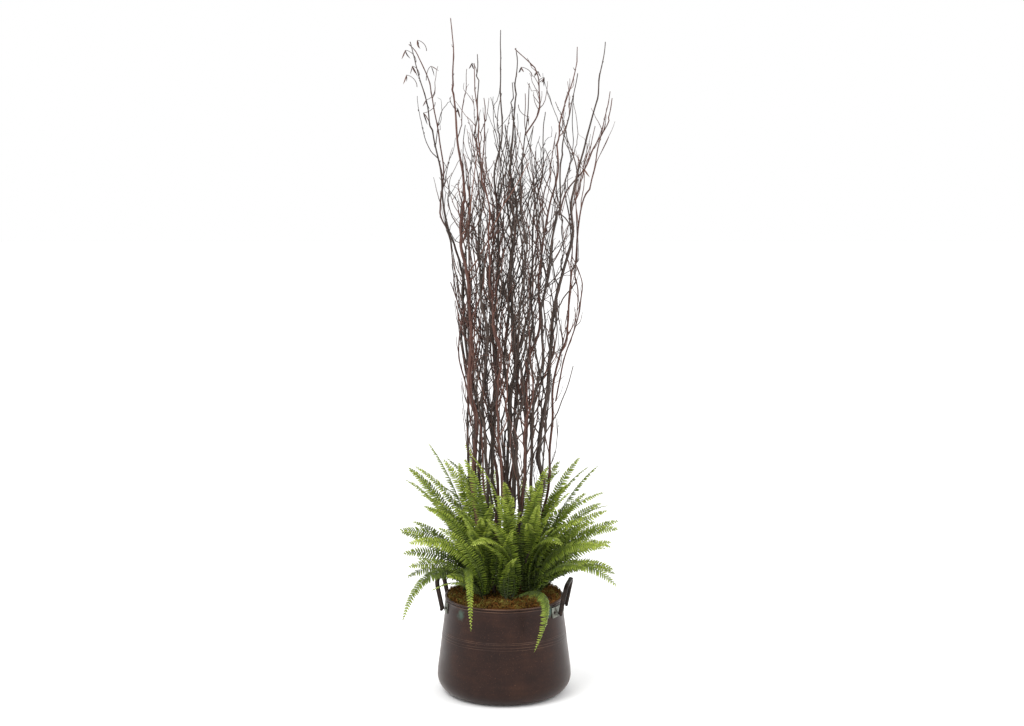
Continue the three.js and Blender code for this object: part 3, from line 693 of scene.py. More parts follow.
# ---- fern crowns ----
# The ferns' short upright rootstocks, sunk in the moss: brown, scaly and fibrous. The packed
# solids are the right shape and stay, under a material of their own.
rootstock, tree = new_material("scaly_fern_rootstock")
place = add_node(tree, "ShaderNodeTexCoord").outputs["Object"]
fibre_way = add_node(tree, "ShaderNodeMapping", {"Vector": place, "Scale": (1.0, 1.0, 0.2)})
fibres = add_node(tree, "ShaderNodeTexNoise",
                  {"Vector": fibre_way.outputs["Vector"], "Scale": 320.0, "Detail": 5.0})
tint = add_node(tree, "ShaderNodeValToRGB", {"Fac": fibres.outputs["Fac"]},
                stops=[(0.35, "#241a0e"), (0.6, "#5a4420"), (0.75, "#6f6a2e")])
bump = add_node(tree, "ShaderNodeBump",
                {"Height": fibres.outputs["Fac"], "Strength": 0.8, "Distance": 2 * MM})
shade(tree, {"Base Color": tint.outputs["Color"], "Roughness": 0.85,
             "Normal": bump.outputs["Normal"]})
crown_names = sorted(name for name in frame["nodes"] if name.startswith("fern_crown"))
for name in crown_names:
    crown = frame["nodes"][name]
    crown.data.materials.clear()
    crown.data.materials.append(rootstock)
crown_spots = np.array([np.array(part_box(n)[0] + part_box(n)[1]) / 2 for n in crown_names])
crown_spots[:, 2] = [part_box(n)[1].z for n in crown_names]

# ---- branches ----
# Cut wands of a crooked shrub, stuck deep in the soil in one tall bundle. Each grew in one piece:
# a stem that kinks at its nodes, side shoots, and on those ever finer twigs with buds.
RING_STEP = 90 * MM
FINE_STEP = 13 * MM


def node_points(name):
    """The different corner points of a CAD node."""
    mesh = frame["nodes"][name].data
    flat = np.empty(len(mesh.vertices) * 3)
    mesh.vertices.foreach_get("co", flat)
    return np.unique(flat.reshape(-1, 3).round(6), axis=0)


def rings_at(points, heights):
    """Centre and radius of the level ring of corners at each height that has one."""
    found = []
    for height in heights:
        corners = points[np.abs(points[:, 2] - height) < 0.02 * MM]
        if len(corners) >= 3:
            centre = corners.mean(axis=0)
            found.append((*centre, np.linalg.norm(corners - centre, axis=1).mean()))
    return found


def stem_of(points):
    """The stem's centre line with its radius, from its rings at whole steps of height."""
    top = points[:, 2].max()
    whole = [k * RING_STEP for k in range(1, int(top / RING_STEP) + 1)]
    if whole[-1] > top - 30 * MM:
        whole.pop()
    return np.array(rings_at(points, whole + [top]))


def shoots_of(points, stem):
    """Side shoots, from the rings half way between whole steps: rings near each other in
    successive gaps belong to one shoot, which starts on the stem a step lower."""
    chains = []
    top = points[:, 2].max()
    for k in range(1, int(top / RING_STEP)):
        height = (k + 0.5) * RING_STEP
        corners = points[np.abs(points[:, 2] - height) < 0.02 * MM]
        groups = []
        for corner in corners:
            near = [g for g in groups if np.linalg.norm(np.mean(g, axis=0) - corner) < 9 * MM]
            if near:
                near[0].append(corner)
            else:
                groups.append([corner])
        for group in groups:
            if len(group) < 3:
                continue
            centre = np.mean(group, axis=0)
            radius = np.linalg.norm(np.array(group) - centre, axis=1).mean()
            ring = np.array([*centre, radius])
            open_chains = [c for c in chains
                           if abs(c[-1][2] + RING_STEP - height) < 1 * MM
                           and np.linalg.norm(c[-1][:2] - ring[:2]) < 60 * MM]
            if open_chains:
                min(open_chains, key=lambda c: np.linalg.norm(c[-1][:2] - ring[:2])).append(ring)
            else:
                foot = height - RING_STEP * 0.75
                start = [np.interp(foot, stem[:, 2], stem[:, axis]) for axis in (0, 1)]
                chains.append([np.array([*start, foot, radius]), ring])
    return [np.array(chain) for chain in chains if len(chain) > 2]


def smooth_line(knots, step):
    """A smooth curve through knots (x, y, z, radius) at even steps of height, by a cubic through
    each pair of knots with the slope of its neighbours."""
    height = knots[:, 2]
    fine = np.arange(height[0], height[-1], step)
    fine = np.append(fine, height[-1])
    slope = np.gradient(knots, height, axis=0)
    index = np.clip(np.searchsorted(height, fine, side="right") - 1, 0, len(height) - 2)
    gap = (height[index + 1] - height[index])[:, None]
    t = ((fine - height[index])[:, None]) / gap
    line = ((2 * t**3 - 3 * t**2 + 1) * knots[index] + (t**3 - 2 * t**2 + t) * gap * slope[index]
            + (3 * t**2 - 2 * t**3) * knots[index + 1] + (t**3 - t**2) * gap * slope[index + 1])
    line[:, 2] = fine
    return line


def crooked(line, free_height, amount):
    """Adds kinks: at nodes 35 to 80 mm apart the line steps aside by a few millimetres, and runs
    straight between them. Below free_height it stays as it is."""
    span = line[-1, 2] - line[0, 2]
    count = max(int(span / (55 * MM)), 3)
    nodes = np.sort(line[0, 2] + span * rng.random(count))
    aside = rng.normal(0, amount, (count, 2))
    free = np.clip((line[:, 2] - free_height) / (60 * MM), 0, 1)
    ends = np.clip((line[-1, 2] - line[:, 2]) / (40 * MM), 0, 1)
    kinked = line.copy()
    for axis in (0, 1):
        kinked[:, axis] += free * ends * np.interp(line[:, 2], nodes, aside[:, axis])
    # the stem swells a little at each node
    close = np.abs(line[:, None, 2] - nodes).min(axis=1)
    kinked[:, 3] *= 1 + 0.22 * np.exp(-((close / (6 * MM)) ** 2)) * free
    return kinked


# how far the bundle reaches to the left and right of the tub's axis at some heights
BUNDLE = np.array([
    # height, left, right
    [300, -110, 95], [560, -118, 150], [700, -112, 156], [860, -120, 172], [1000, -130, 205],
    [1110, -140, 222], [1230, -150, 226], [1330, -158, 214], [1450, -196, 206],
    [1560, -225, 232], [1650, -255, 280], [1760, -285, 318], [1860, -300, 312],
    [1966, -290, 290], [2050, -200, 240]]) * MM


def within_bundle(paths):
    """The same paths squeezed softly into the bundle's outline: past nine tenths of the way from
    the middle to the edge, a twig is held back more the farther out it would go."""
    height = paths[..., 2]
    low = np.interp(height, BUNDLE[:, 0], BUNDLE[:, 1])
    high = np.interp(height, BUNDLE[:, 0], BUNDLE[:, 2])
    middle, half = (low + high) / 2, (high - low) / 2
    held = paths.copy()
    for axis, centre in ((0, middle), (1, 0.0)):
        out = (paths[..., axis] - centre) / half
        past = np.maximum(np.abs(out) - 0.85, 0)
        eased = np.minimum(np.abs(out), 0.85) + 0.15 * (1 - np.exp(-past / 0.15))
        held[..., axis] = centre + np.sign(out) * eased * half
    top = cad_box[1].z - 4 * MM
    held[..., 2] = np.where(height > top - 60 * MM,
                            top - 60 * MM * np.exp(-(height - top + 60 * MM) / (60 * MM)), height)
    return held - held[:, :1] + paths[:, :1]


def grow(starts, headings, lengths, radii, steps, upward, waver):
    """Many twigs at once from starts along unit headings. Each step's direction leans from the
    heading towards straight up (upward says how fast), with kinks from a random walk."""
    count = len(starts)
    share = np.linspace(0, 1, steps)[None, :, None]
    kink = np.cumsum(rng.normal(0, waver, (count, steps, 3)), axis=1)
    kink -= kink[:, :1]
    snap = rng.normal(0, waver * 2.2, (count, steps, 3)) * (rng.random((count, steps, 1)) < 0.3)
    lean = np.exp(-share * upward)
    way = headings[:, None] * lean + np.array([0, 0, 1.0]) * (1 - lean) + kink + snap
    way /= np.linalg.norm(way, axis=2, keepdims=True)
    stride = (lengths / (steps - 1))[:, None, None]
    moved = np.cumsum(way * stride, axis=1)
    paths = starts[:, None] + moved - moved[:, :1]
    thin = radii[:, None] * (1 - 0.5 * share[:, :, 0])
    return within_bundle(paths), thin


def leaving(lines_along, out_share):
    """Unit headings that leave a parent's direction sideways at a random bearing."""
    bearing = rng.random(len(lines_along)) * 2 * np.pi
    out = np.stack([np.cos(bearing), np.sin(bearing), np.zeros_like(bearing)], axis=-1)
    out *= (out_share * (0.6 + 0.8 * rng.random(len(bearing))))[:, None]
    way = lines_along + out
    return way / np.linalg.norm(way, axis=1, keepdims=True)


def picked(paths, radii, count, low_share, high_share):
    """Random places on many paths: point, direction and radius there."""
    rod = rng.integers(0, len(paths), count)
    steps = paths.shape[1]
    place = (low_share + (high_share - low_share) * rng.random(count)) * (steps - 2)
    at = place.astype(int)
    part = (place - at)[:, None]
    first, second = paths[rod, at], paths[rod, at + 1]
    along = second - first
    along /= np.linalg.norm(along, axis=1, keepdims=True) + 1e-12
    return first + (second - first) * part, along, radii[rod, at]


def even(line, steps):
    """A line (x, y, z, radius) at that many even steps of height."""
    height = np.linspace(line[0, 2], line[-1, 2], steps)
    return np.stack([np.interp(height, line[:, 2], line[:, axis]) for axis in range(4)], axis=-1)


class Wood:
    """Gathers the rods of one branch into one mesh, with a bark tone for each."""

    def __init__(self):
        self.points, self.quads, self.triangles, self.tone = [], [], [], []
        self.count = 0

    def add(self, paths, radii, sides, tone):
        points, owner, quads, triangles = tubes(paths, radii, sides)
        self.points.append(points)
        self.quads.append(quads + self.count)
        self.triangles.append(triangles + self.count)
        self.tone.append(np.broadcast_to(tone, (len(paths),))[owner])
        self.count += len(points)

    def piece(self, name, material, slot, replaces):
        return make_piece(name, np.concatenate(self.points), np.concatenate(self.quads),
                          np.concatenate(self.triangles), material, replaces,
                          np.concatenate(self.tone))


def bark(name, deep, middle, light):
    """Thin smooth bark: brown to grey by rod, streaked along the stem, with pale pores and a
    soft satin on the youngest wood."""
    material, tree = new_material(name)
    tone = add_node(tree, "ShaderNodeAttribute", attribute_name="tone").outputs["Fac"]
    place = add_node(tree, "ShaderNodeTexCoord").outputs["Object"]
    long_way = add_node(tree, "ShaderNodeMapping", {"Vector": place, "Scale": (1.0, 1.0, 0.12)})
    streaks = add_node(tree, "ShaderNodeTexNoise",
                       {"Vector": long_way.outputs["Vector"], "Scale": 260.0, "Detail": 5.0})
    mixed = add_node(tree, "ShaderNodeMath", {0: tone, 1: streaks.outputs["Fac"]},
                     operation="ADD").outputs[0]
    halved = add_node(tree, "ShaderNodeMath", {0: mixed, 1: 0.5}, operation="MULTIPLY").outputs[0]
    tint = add_node(tree, "ShaderNodeValToRGB", {"Fac": halved},
                    stops=[(0.25, deep), (0.5, middle), (0.75, light)])
    bump = add_node(tree, "ShaderNodeBump",
                    {"Height": streaks.outputs["Fac"], "Strength": 0.5, "Distance": 0.8 * MM})
    shade(tree, {"Base Color": tint.outputs["Color"], "Roughness": 0.62,
                 "Normal": bump.outputs["Normal"]})
    return material


red_bark = bark("red_brown_bark", "#26160f", "#523127", "#7a5545")
grey_bark = bark("grey_brown_bark", "#15100f", "#35271f", "#5f4a40")


def branch_piece(name, stem, shoots, bark_material, slot, replaces, fullness):
    """One whole branch: stem, side shoots, two orders of twigs, and buds."""
    wood = Wood()
    free = crown_spots[:, 2].max() + 10 * MM
    line = crooked(smooth_line(stem, FINE_STEP), free, 3.2 * MM)
    wood.add(line[None, :, :3], line[None, :, 3], 8, 0.5)
    shoot_steps = 36
    limbs = []
    for shoot in shoots:
        fine = crooked(even(smooth_line(shoot, FINE_STEP), shoot_steps), shoot[0, 2], 4.0 * MM)
        limbs.append(fine)
    if limbs:
        limbs = np.array(limbs)
        wood.add(limbs[:, :, :3], limbs[:, :, 3], 7, 0.45)
    # first twigs leave the stem and shoots and turn up beside them
    stem_even = even(line, 80)
    count = int(11 * fullness)
    starts, along, near = picked(stem_even[None, :, :3], stem_even[None, :, 3], count, 0.32, 0.88)
    if len(limbs):
        more = picked(limbs[:, :, :3], limbs[:, :, 3], int(4 * fullness), 0.2, 0.75)
        starts, along, near = (np.concatenate(pair) for pair in zip((starts, along, near), more))
    left = np.clip(line[-1, 2] - starts[:, 2], 0, 1)
    lengths = np.minimum(0.14 + 0.26 * rng.random(len(starts)), 0.04 + 0.5 * left)
    radii = np.clip(near * 0.55, 1.5 * MM, 2.4 * MM)
    twigs, twig_radii = grow(starts, leaving(along, 0.75), lengths, radii, 20, 2.2, 0.07)
    wood.add(twigs, twig_radii, 5, 0.3 + 0.5 * rng.random(len(twigs)))
    # second twigs
    count = int(22 * fullness)
    starts, along, near = picked(twigs, twig_radii, count, 0.12, 0.9)
    lengths = 0.03 + 0.08 * rng.random(count)
    small, small_radii = grow(starts, leaving(along, 0.9), lengths,
                              np.clip(near * 0.7, 1.0 * MM, 1.5 * MM), 9, 1.2, 0.12)
    wood.add(small, small_radii, 4, 0.2 + 0.5 * rng.random(count))
    # buds and spurs
    for rods, rod_radii, many, size in [
        (stem_even[None, :, :3], stem_even[None, :, 3], 34, 9 * MM),
        (twigs, twig_radii, 70, 6 * MM)]:
        count = int(many * fullness)
        starts, along, near = picked(rods, rod_radii, count, 0.18, 0.98)
        lengths = size * (0.6 + 0.9 * rng.random(count))
        spurs, spur_radii = grow(starts, leaving(along, 1.4), lengths,
                                 np.full(count, 0.9 * MM), 4, 0.6, 0.1)
        wood.add(spurs, spur_radii * np.array([1.0, 1.5, 1.3, 0.7]), 4, 0.35)
    return wood.piece(name, bark_material, slot, replaces)


branch_names = sorted(name for name in frame["nodes"] if name.startswith("branch_"))
slot_of = {row["node"]: row["material_slot"] for row in frame["record"]["subparts"]}
stems = {}
for name in branch_names:
    points = node_points(name)
    stem = stem_of(points)
    stems[name] = stem
    slot = slot_of[name]
    branch_piece(f"{name}_wood", stem, shoots_of(points, stem),
                 red_bark if slot == "red_bark" else grey_bark, slot, [name], 1.0)

# thinner wands that stand between the main ones, each beside one of them
EXTRA_WANDS = [
    # neighbour, aside x, y, share of the neighbour's height
    ("branch_01", 26, 10, 0.80), ("branch_03", 10, -20, 0.84), ("branch_05", -14, -16, 0.82),
    ("branch_06", 14, 10, 0.84), ("branch_08", 15, -12, 0.80), ("branch_12", -18, 8, 0.92),
    ("branch_13", 14, 12, 0.86), ("branch_16", 16, -10, 0.9), ("branch_02", -17, 14, 0.84),
]
for number, (beside, aside_x, aside_y, tall) in enumerate(EXTRA_WANDS):
    stem = stems[beside].copy()
    keep = stem[:, 2] <= stem[-1, 2] * tall
    stem = stem[keep]
    stem[:, 0] += aside_x * MM + 0.02 * np.sin(stem[:, 2] * 5 + number) * (stem[:, 2] > 0.35)
    stem[:, 1] += aside_y * MM + 0.02 * np.cos(stem[:, 2] * 4 + 2 * number) * (stem[:, 2] > 0.35)
    stem[:, 3] = np.linspace(3.6, 1.1, len(stem)) * MM
    branch_piece(f"wand_{number + 1:02d}", stem, [], grey_bark if number % 3 else red_bark,
                 "grey_bark" if number % 3 else "red_bark", (), 0.8)

# long side leaders that stand out of the bundle, each listed with the height and reach of its bends
LEADERS = [
    # depth y, then x and z at each bend
    (20, [(-152, 1352), (-172, 1383), (-177, 1549), (-188, 1621), (-196, 1691), (-210, 1776),
          (-238, 1849), (-256, 1880), (-270, 1893)]),
    (-10, [(158, 1409), (180, 1478), (235, 1547), (257, 1601), (299, 1683), (307, 1742)]),
    (-14, [(150, 871), (159, 924), (179, 1006), (208, 1097), (222, 1169), (225, 1213),
           (216, 1248), (196, 1290)]),
    (-34, [(-84, 990), (-96, 1068), (-133, 1161), (-153, 1219)]),
    (-30, [(-95, 800), (-111, 924), (-126, 991), (-119, 1117), (-100, 1180)]),
    (-50, [(60, 1640), (96, 1700), (100, 1760), (92, 1820), (31, 1881)]),
]
for number, (depth, bends) in enumerate(LEADERS):
    knots = np.array([[x, depth + 6 * math.sin(k), z, 2.6 - 1.5 * k / len(bends)]
                      for k, (x, z) in enumerate(bends)]) * MM
    line = crooked(smooth_line(knots, 9 * MM), knots[0, 2], 1.6 * MM)
    wood = Wood()
    wood.add(line[None, :, :3], line[None, :, 3], 6, 0.4)
    starts, along, near = picked(line[None, :, :3], line[None, :, 3], 9, 0.15, 0.9)
    side, side_radii = grow(starts, leaving(along, 0.9), 0.03 + 0.07 * rng.random(9),
                            np.full(9, 1.2 * MM), 7, 0.8, 0.12)
    wood.add(side, side_radii, 4, 0.35)
    wood.piece(f"leader_{number + 1}", red_bark, "red_bark", ())

# ---- dried leaf clusters ----
# A few withered leaves and catkins still hang on the wood: dark brown, curled, 15 to 30 mm long,
# two or three together on a fine arching stalk.
CLUSTERS = [
    # x, y, z of the cluster, and the drop and lean of its stalk
    (-280, 20, 1877, 34, 30), (-246, 20, 1905, 30, 26), (-278, 24, 1807, 34, 30),
    (-261, 24, 1832, 26, 20), (-207, 10, 1832, 40, -14), (-222, 12, 1737, -34, 26),
    (-230, 14, 1700, -30, 34), (-131, -24, 1714, -30, -22), (-90, -40, 1841, 34, 14),
    (49, -46, 1830, 26, 30), (97, -50, 1818, 10, -10), (114, -46, 1801, 14, -16),
    (71, -44, 1691, -34, -30), (229, -12, 1541, -20, -14), (11, -70, 1248, -20, -18),
    (121, -66, 1378, -24, 20), (199, -24, 1271, -16, 16),
]
dry_leaf, tree = new_material("withered_leaf_and_catkin")
tone = add_node(tree, "ShaderNodeAttribute", attribute_name="tone").outputs["Fac"]
tint = add_node(tree, "ShaderNodeValToRGB", {"Fac": tone},
                stops=[(0.0, "#1f1614"), (0.5, "#4a3029"), (1.0, "#75503c")])
shade(tree, {"Base Color": tint.outputs["Color"], "Roughness": 0.8})
for number, (x, y, z, drop, lean) in enumerate(CLUSTERS):
    spot = np.array([x, y, z]) * MM
    arch = np.linspace(0, 1, 9)
    stalk = spot + np.stack([
        np.sin(arch * np.pi / 2) * lean, 0 * arch,
        -drop * arch**1.6], axis=-1)[::-1] * MM
    many = 2 + number % 2
    share = np.linspace(0, 1, 7)
    swing = rng.normal(0, 0.28, (many, 3)) + np.array([0, 0, -1.0])
    swing /= np.linalg.norm(swing, axis=1, keepdims=True)
    long = (17 + 13 * rng.random(many)) * MM
    curl = rng.normal(0, 4 * MM, (many, 3))
    hang = (spot + swing[:, None] * (long[:, None] * share)[:, :, None]
            + curl[:, None] * (share**2)[None, :, None])
    belly = np.sin(np.pi * np.clip(share * 0.86 + 0.1, 0, 1)) ** 0.8
    fat = (1.2 + 0.9 * rng.random(many))[:, None] * belly * MM
    points, owner, quads, triangles = tubes(hang, fat, 7)
    more, _, more_quads, more_triangles = tubes(
        stalk[None], np.linspace(1.1, 0.8, 9)[None] * MM, 5)
    make_piece(
        f"dried_cluster_{number + 1:02d}", np.concatenate([points, more]),
        np.concatenate([quads, more_quads + len(points)]),
        np.concatenate([triangles, more_triangles + len(points)]), dry_leaf, (),
        np.concatenate([rng.random(many)[owner] * 0.8, np.full(len(more), 0.3)]))

# ---- fronds ----
# Boston fern fronds, up to 460 mm long: a wiry midrib with forty to sixty pairs of leaflets
# set like the teeth of a comb, dark and grown at the base and fresh yellow-green at the tip.
LEAFLET_SPACING = 7 * MM
LEAFLET_STEPS = 5
STALK_SHARE = 0.05


def frond_frame(name):
    """Midrib and blade direction of a CAD frond, from its rings of four corners walked from the
    crown: returns the cubic's coefficients for x, y, z and the side direction of each ring."""
    mesh = frame["nodes"][name].data
    flat = np.empty(len(mesh.vertices) * 3)
    mesh.vertices.foreach_get("co", flat)
    corners, index = np.unique(flat.reshape(-1, 3).round(6), axis=0, return_inverse=True)
    index = index.ravel()
    loops = np.empty(len(mesh.loops), np.int32)
    mesh.loops.foreach_get("vertex_index", loops)
    faces = index[loops].reshape(-1, 3)
    joined = np.zeros((len(corners), len(corners)), bool)
    for a, b in ((0, 1), (1, 2), (2, 0)):
        joined[faces[:, a], faces[:, b]] = True
        joined[faces[:, b], faces[:, a]] = True
    from_crown = np.linalg.norm(corners[:, None] - crown_spots, axis=2).min(axis=1)
    first = corners[np.argmin(from_crown)]
    layer = np.linalg.norm(corners - first, axis=1) < 6 * MM
    seen = layer.copy()
    rings = [corners[layer]]
    while not seen.all():
        layer = joined[layer].any(axis=0) & ~seen
        if not layer.any():
            break
        seen |= layer
        rings.append(corners[layer])
    centres = np.array([ring.mean(axis=0) for ring in rings])
    sides = []
    for ring in rings:
        apart = ring[:, None] - ring[None]
        span = np.linalg.norm(apart, axis=2)
        i, k = np.unravel_index(np.argmax(span), span.shape)
        way = apart[i, k] / span[i, k]
        sides.append(way if not sides or way @ sides[-1] > 0 else -way)
    sides[0] = sides[1] if sides[1] @ sides[2] > 0 else -sides[1]
    sides[-1] = sides[-2]
    t = np.linspace(0, 1, len(centres))
    return np.polyfit(t, centres, 3), np.array(sides)


def arched_midrib(base, tip, length):
    """A cubic from base to tip, bowed up and inward until it has its length: coefficients."""
    chord = tip - base
    along = chord / np.linalg.norm(chord)
    bow_way = np.array([0, 0, 1.0]) - along * along[2]
    bow_way /= np.linalg.norm(bow_way)
    low, high = 0.0, length
    t = np.linspace(0, 1, 25)[:, None]
    for _ in range(22):
        bow = (low + high) / 2
        second = base + 0.22 * chord + bow * bow_way
        third = base + 0.72 * chord + 0.9 * bow * bow_way
        line = ((1 - t) ** 3 * base + 3 * (1 - t) ** 2 * t * second + 3 * (1 - t) * t**2 * third
                + t**3 * tip)
        if np.linalg.norm(np.diff(line, axis=0), axis=1).sum() < length:
            low = bow
        else:
            high = bow
    return np.polyfit(t[:, 0], line, 3)


def leafy_width(t):
    """Leaflet length along the midrib as a share of the longest: short at the stalk, full from a
    quarter of the way, and tapering to a soft point."""
    leafy = np.clip((t - STALK_SHARE) / (1 - STALK_SHARE), 0, 1)
    return (0.6 + 0.4 * np.clip(leafy / 0.2, 0, 1)) * (1 - leafy**3) ** 0.8 + 0.08


def frond_mesh(cubic, sides, half_width, droop, tone_shift):
    """A frond: a thin round midrib, and pairs of closed lens-shaped leaflets. Each leaflet runs
    out sideways and a little forward, sags by droop, curves to the tip of the frond, is widest
    near its root and ends in a point."""
    def at(t):
        return np.stack([np.polyval(cubic[:, axis], t) for axis in range(3)], axis=-1)

    def side_at(t):
        spots = np.linspace(0, 1, len(sides))
        way = np.stack([np.interp(t, spots, sides[:, axis]) for axis in range(3)], axis=-1)
        along = at(t + 0.005) - at(t - 0.005)
        along /= np.linalg.norm(along, axis=1, keepdims=True)
        way -= (way * along).sum(1, keepdims=True) * along
        return way / np.linalg.norm(way, axis=1, keepdims=True), along

    rib_t = np.linspace(0, 1, 34)
    rib = at(rib_t)[None]
    rib_radius = (1.7 - 1.25 * rib_t)[None] * MM
    points, _, quads, triangles = tubes(rib, rib_radius, 6)
    rib_tone = np.interp(np.concatenate([np.repeat(rib_t, 6), [0, 1]]), [0, 0.3, 1],
                       [0.05, 0.3, 0.6])
    long = np.linalg.norm(np.diff(at(np.linspace(0, 1, 60)), axis=0), axis=1).sum()
    pairs = int(long * (1 - STALK_SHARE) / LEAFLET_SPACING)
    t = STALK_SHARE + (0.985 - STALK_SHARE) * (np.arange(pairs) + 0.5) / pairs
    t = np.concatenate([t, t + 0.35 / pairs])
    hand = np.repeat([1.0, -1.0], pairs)
    t = np.clip(t + rng.normal(0, 0.08 / pairs, len(t)), 0, 0.995)
    way, along = side_at(t)
    face = np.cross(along, way)
    # the upper face looks up, or outward on an upright frond
    outward = at(t)[:, :2].mean(axis=0)
    up_side = face[:, 2].mean() + 0.25 * (face[:, :2].mean(axis=0) @ outward)
    face *= 1.0 if up_side > 0 else -1.0
    reach = half_width * leafy_width(t) * (1 + rng.normal(0, 0.05, len(t)))
    broad = np.minimum(0.5 * LEAFLET_SPACING * 0.88, 0.3 * reach + 1.0 * MM)
    forward = 0.18 + 0.5 * np.clip(t - 0.55, 0, 1) + rng.normal(0, 0.05, len(t))
    s = np.linspace(0, 1, LEAFLET_STEPS + 1)
    out = way * hand[:, None]
    sag = droop * (0.75 + 0.5 * rng.random(len(t))) + rng.normal(0, 0.05, len(t))
    spine = (at(t)[:, None]
             + out[:, None] * (reach[:, None] * s)[:, :, None]
             + along[:, None] * (reach[:, None] * (forward[:, None] * s + 0.12 * s**2))[:, :, None]
             + face[:, None] * (reach[:, None] * (0.10 * s - sag[:, None] * s**2))[:, :, None])
    wide = broad[:, None] * np.array([0.62, 1.0, 0.98, 0.84, 0.58])[None]
    fold = 0.22 * wide
    thick = 0.28 * MM
    ring_centre = spine[:, :LEAFLET_STEPS]
    twist = rng.normal(0, 0.18, len(t))[:, None]
    blade_along = along + face * twist
    blade_face = face - along * twist
    left = ring_centre + blade_along[:, None] * wide[:, :, None] + blade_face[:, None] * fold[:, :, None]
    right = ring_centre - blade_along[:, None] * wide[:, :, None] + blade_face[:, None] * fold[:, :, None]
    top = ring_centre + blade_face[:, None] * thick
    bottom = ring_centre - blade_face[:, None] * thick
    rings = np.stack([left, top, right, bottom], axis=2)
    tips = spine[:, -1:]
    roots = ring_centre[:, :1]
    each = LEAFLET_STEPS * 4 + 2
    leaf_points = np.concatenate([rings.reshape(len(t), -1, 3), tips, roots], axis=1)
    leaf_quads = closed_grid(LEAFLET_STEPS, 4)
    j = np.arange(4)
    after = (j + 1) % 4
    last = (LEAFLET_STEPS - 1) * 4
    caps = np.concatenate([
        np.stack([np.full(4, each - 2), last + j, last + after], axis=-1),
        np.stack([np.full(4, each - 1), after, j], axis=-1)])
    # mirrored leaflets wind the other way
    handed = np.cross(blade_along, blade_face)
    flips = (handed * out).sum(axis=1) > 0
    start = (len(points) + np.arange(len(t)) * each)[:, None, None]
    all_quads = np.where(flips[:, None, None], leaf_quads[None], leaf_quads[None, :, ::-1]) + start
    all_caps = np.where(flips[:, None, None], caps[None], caps[None, :, ::-1]) + start
    reach_tone = np.concatenate([np.repeat(s[:LEAFLET_STEPS], 4), [1.0, 0.0]])
    leaf_tone = (0.12 + 0.62 * t[:, None] ** 1.3 + 0.22 * reach_tone[None]
                 + rng.normal(0, 0.035, len(t))[:, None])
    points = np.concatenate([points, leaf_points.reshape(-1, 3)])
    quads = np.concatenate([quads, all_quads.reshape(-1, 4)])
    triangles = np.concatenate([triangles, all_caps.reshape(-1, 3)])
    tone = np.concatenate([rib_tone, leaf_tone.ravel()]) + tone_shift
    return points, quads, triangles, np.clip(tone, 0, 1)


def fern_leaf():
    """Fern leaf: soft satin green, deep at the base of a frond and yellow-green at its tip, with
    the light glowing through a little."""
    material, tree = new_material("boston_fern_leaf")
    tone = add_node(tree, "ShaderNodeAttribute", attribute_name="tone").outputs["Fac"]
    place = add_node(tree, "ShaderNodeTexCoord").outputs["Object"]
    mottle = add_node(tree, "ShaderNodeTexNoise",
                      {"Vector": place, "Scale": 60.0, "Detail": 4.0})
    shifted = add_node(tree, "ShaderNodeMapRange",
                       {"Value": mottle.outputs["Fac"], "From Min": 0.25, "From Max": 0.75,
                        "To Min": -0.14, "To Max": 0.14}).outputs["Result"]
    mixed = add_node(tree, "ShaderNodeMath", {0: tone, 1: shifted}, operation="ADD").outputs[0]
    tint = add_node(tree, "ShaderNodeValToRGB", {"Fac": mixed},
                    stops=[(0.0, "#1b220a"), (0.3, "#3b4914"), (0.55, "#62731c"),
                           (0.8, "#8e9d33"), (1.0, "#b3c05a")])
    shade(tree, {"Base Color": tint.outputs["Color"], "Roughness": 0.5,
                 "Subsurface Weight": 0.12, "Subsurface Radius": (0.004, 0.006, 0.002),
                 "Specular IOR Level": 0.4})
    return material


# fronds that hang over the rim, whose leaflets have folded down along the midrib
FOLDED = {"frond_05": (15, 0.8), "frond_07": (20, 0.5), "frond_10": (17, 0.8)}

leaf_green = fern_leaf()
frond_names = sorted(name for name in frame["nodes"] if name.startswith("frond_"))
for name in frond_names:
    cubic, sides = frond_frame(name)
    half_width, droop = FOLDED.get(name, (28, 0.2 + 0.2 * rng.random()))
    points, quads, triangles, tone = frond_mesh(
        cubic, sides, half_width * MM, droop, rng.normal(0, 0.05))
    make_piece(f"{name}_leaf", points, quads, triangles, leaf_green, [name], tone)

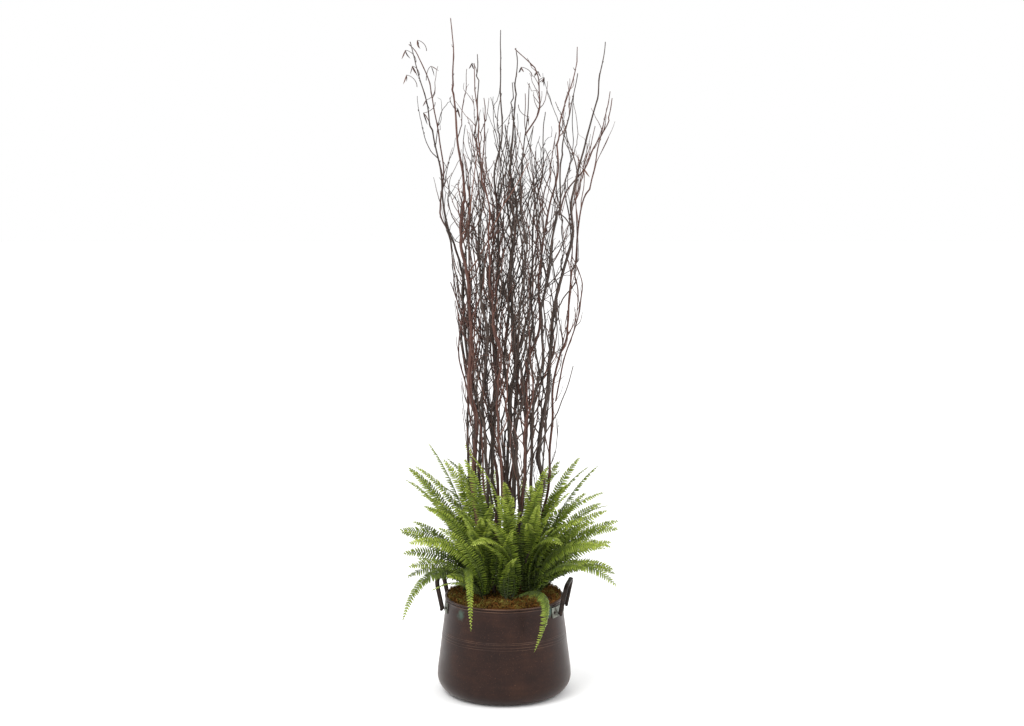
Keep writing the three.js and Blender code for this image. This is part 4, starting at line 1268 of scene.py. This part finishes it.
# smaller fronds that fill each fern, too many to be parts of their own in the frame
MORE_FRONDS = [
    # crown, tip x, y, z, roll of the blade in degrees
    (0, -282, 20, 668, 60), (0, -168, 0, 700, 50), (0, -180, 60, 684, -40),
    (0, -200, -60, 560, 70), (0, -304, 30, 470, 60), (0, -150, 90, 560, 20),
    (0, -259, -60, 687, -50), (0, -292, 60, 622, 40), (0, -264, -80, 528, 50),
    (0, -295, -30, 420, -60), (0, -240, -90, 610, 30), (0, -130, -90, 705, 20),
    (0, -287, 60, 326, 50), (0, -276, -110, 400, -40), (1, -186, -170, 530, 50),
    (1, -118, -130, 640, 40), (1, -95, -190, 530, 10), (1, -230, -150, 590, 60),
    (1, -160, -230, 400, -30), (1, -66, -170, 560, 10), (1, -210, -200, 350, 20),
    (1, -96, -160, 500, -30), (1, -150, -190, 600, 30), (1, -113, -200, 568, -20),
    (1, -250, -170, 440, 40), (1, -105, -80, 735, 10), (1, -30, -170, 600, 0),
    (1, -40, -150, 540, 20), (2, 34, -170, 440, 10), (2, 49, -180, 580, -20),
    (2, -50, -190, 560, 30), (2, 24, -150, 520, 10), (2, 0, -150, 660, 10),
    (2, -26, -150, 590, 20), (2, 62, -140, 560, -30), (2, 26, -170, 620, 20),
    (2, -62, -150, 480, 20), (3, 78, -150, 649, 10), (3, 128, -110, 700, -30),
    (3, 190, -150, 630, 40), (3, 230, -190, 560, 50), (3, 240, -230, 420, 20),
    (3, 140, -220, 540, 30), (3, 128, -150, 560, -20), (3, 310, -90, 470, 50),
    (3, 100, -180, 600, -20), (3, 176, -170, 540, 20), (3, 272, -170, 430, -40),
    (3, 66, -150, 540, 20), (4, 166, 20, 661, -50), (4, 192, -50, 634, 60),
    (4, 300, -60, 556, -60), (4, 270, 40, 500, 40), (4, 290, 110, 540, 30),
    (4, 240, -20, 600, 50), (4, 300, 30, 420, -40), (4, 336, 20, 507, 50), (4, 307, 60, 544, -30),
    (4, 319, -40, 375, 40), (4, 290, -60, 610, 30), (4, 250, 70, 660, -40),
    (4, 330, 60, 335, -50), (5, -140, 180, 620, 20), (5, -200, 150, 590, 40),
    (5, -110, 260, 540, 0), (5, -180, 250, 400, 10), (5, -30, 220, 620, 0),
    (5, -260, 140, 420, 30), (6, 60, 220, 600, 0), (6, 110, 270, 500, 10), (6, 130, 180, 620, 20),
    (6, 40, 290, 430, 0), (6, 220, 180, 520, 40), (6, 200, 120, 600, 30), (6, 250, 200, 380, 30),
]
for number, (crown, tip_x, tip_y, tip_z, roll) in enumerate(MORE_FRONDS):
    turn = rng.random() * 2 * np.pi
    base = crown_spots[crown] + np.array([9 * math.cos(turn), 9 * math.sin(turn), 0]) * MM
    tip = np.array([tip_x, tip_y, tip_z]) * MM
    straight = np.linalg.norm(tip - base)
    cubic = arched_midrib(base, tip, straight * (1.05 + 0.09 * rng.random()))
    outward = (tip - base) * np.array([1, 1, 0])
    outward /= np.linalg.norm(outward)
    level = np.array([-outward[1], outward[0], 0])
    t = np.linspace(0, 1, 9)
    slope = np.stack([np.polyval(np.polyder(cubic[:, axis]), t) for axis in range(3)], axis=-1)
    slope /= np.linalg.norm(slope, axis=1, keepdims=True)
    # the side direction turns about the midrib by the roll, reached a third of the way up
    angle = math.radians(roll) * np.minimum(3 * t, 1)[:, None]
    sides = level * np.cos(angle) + np.cross(slope, level) * np.sin(angle)
    points, quads, triangles, tone = frond_mesh(
        cubic, sides, (21 + 5 * rng.random()) * MM, 0.2 + 0.25 * rng.random(),
        rng.normal(0.0, 0.07))
    make_piece(f"small_frond_{number + 1:02d}", points, quads, triangles, leaf_green,
               (), tone)
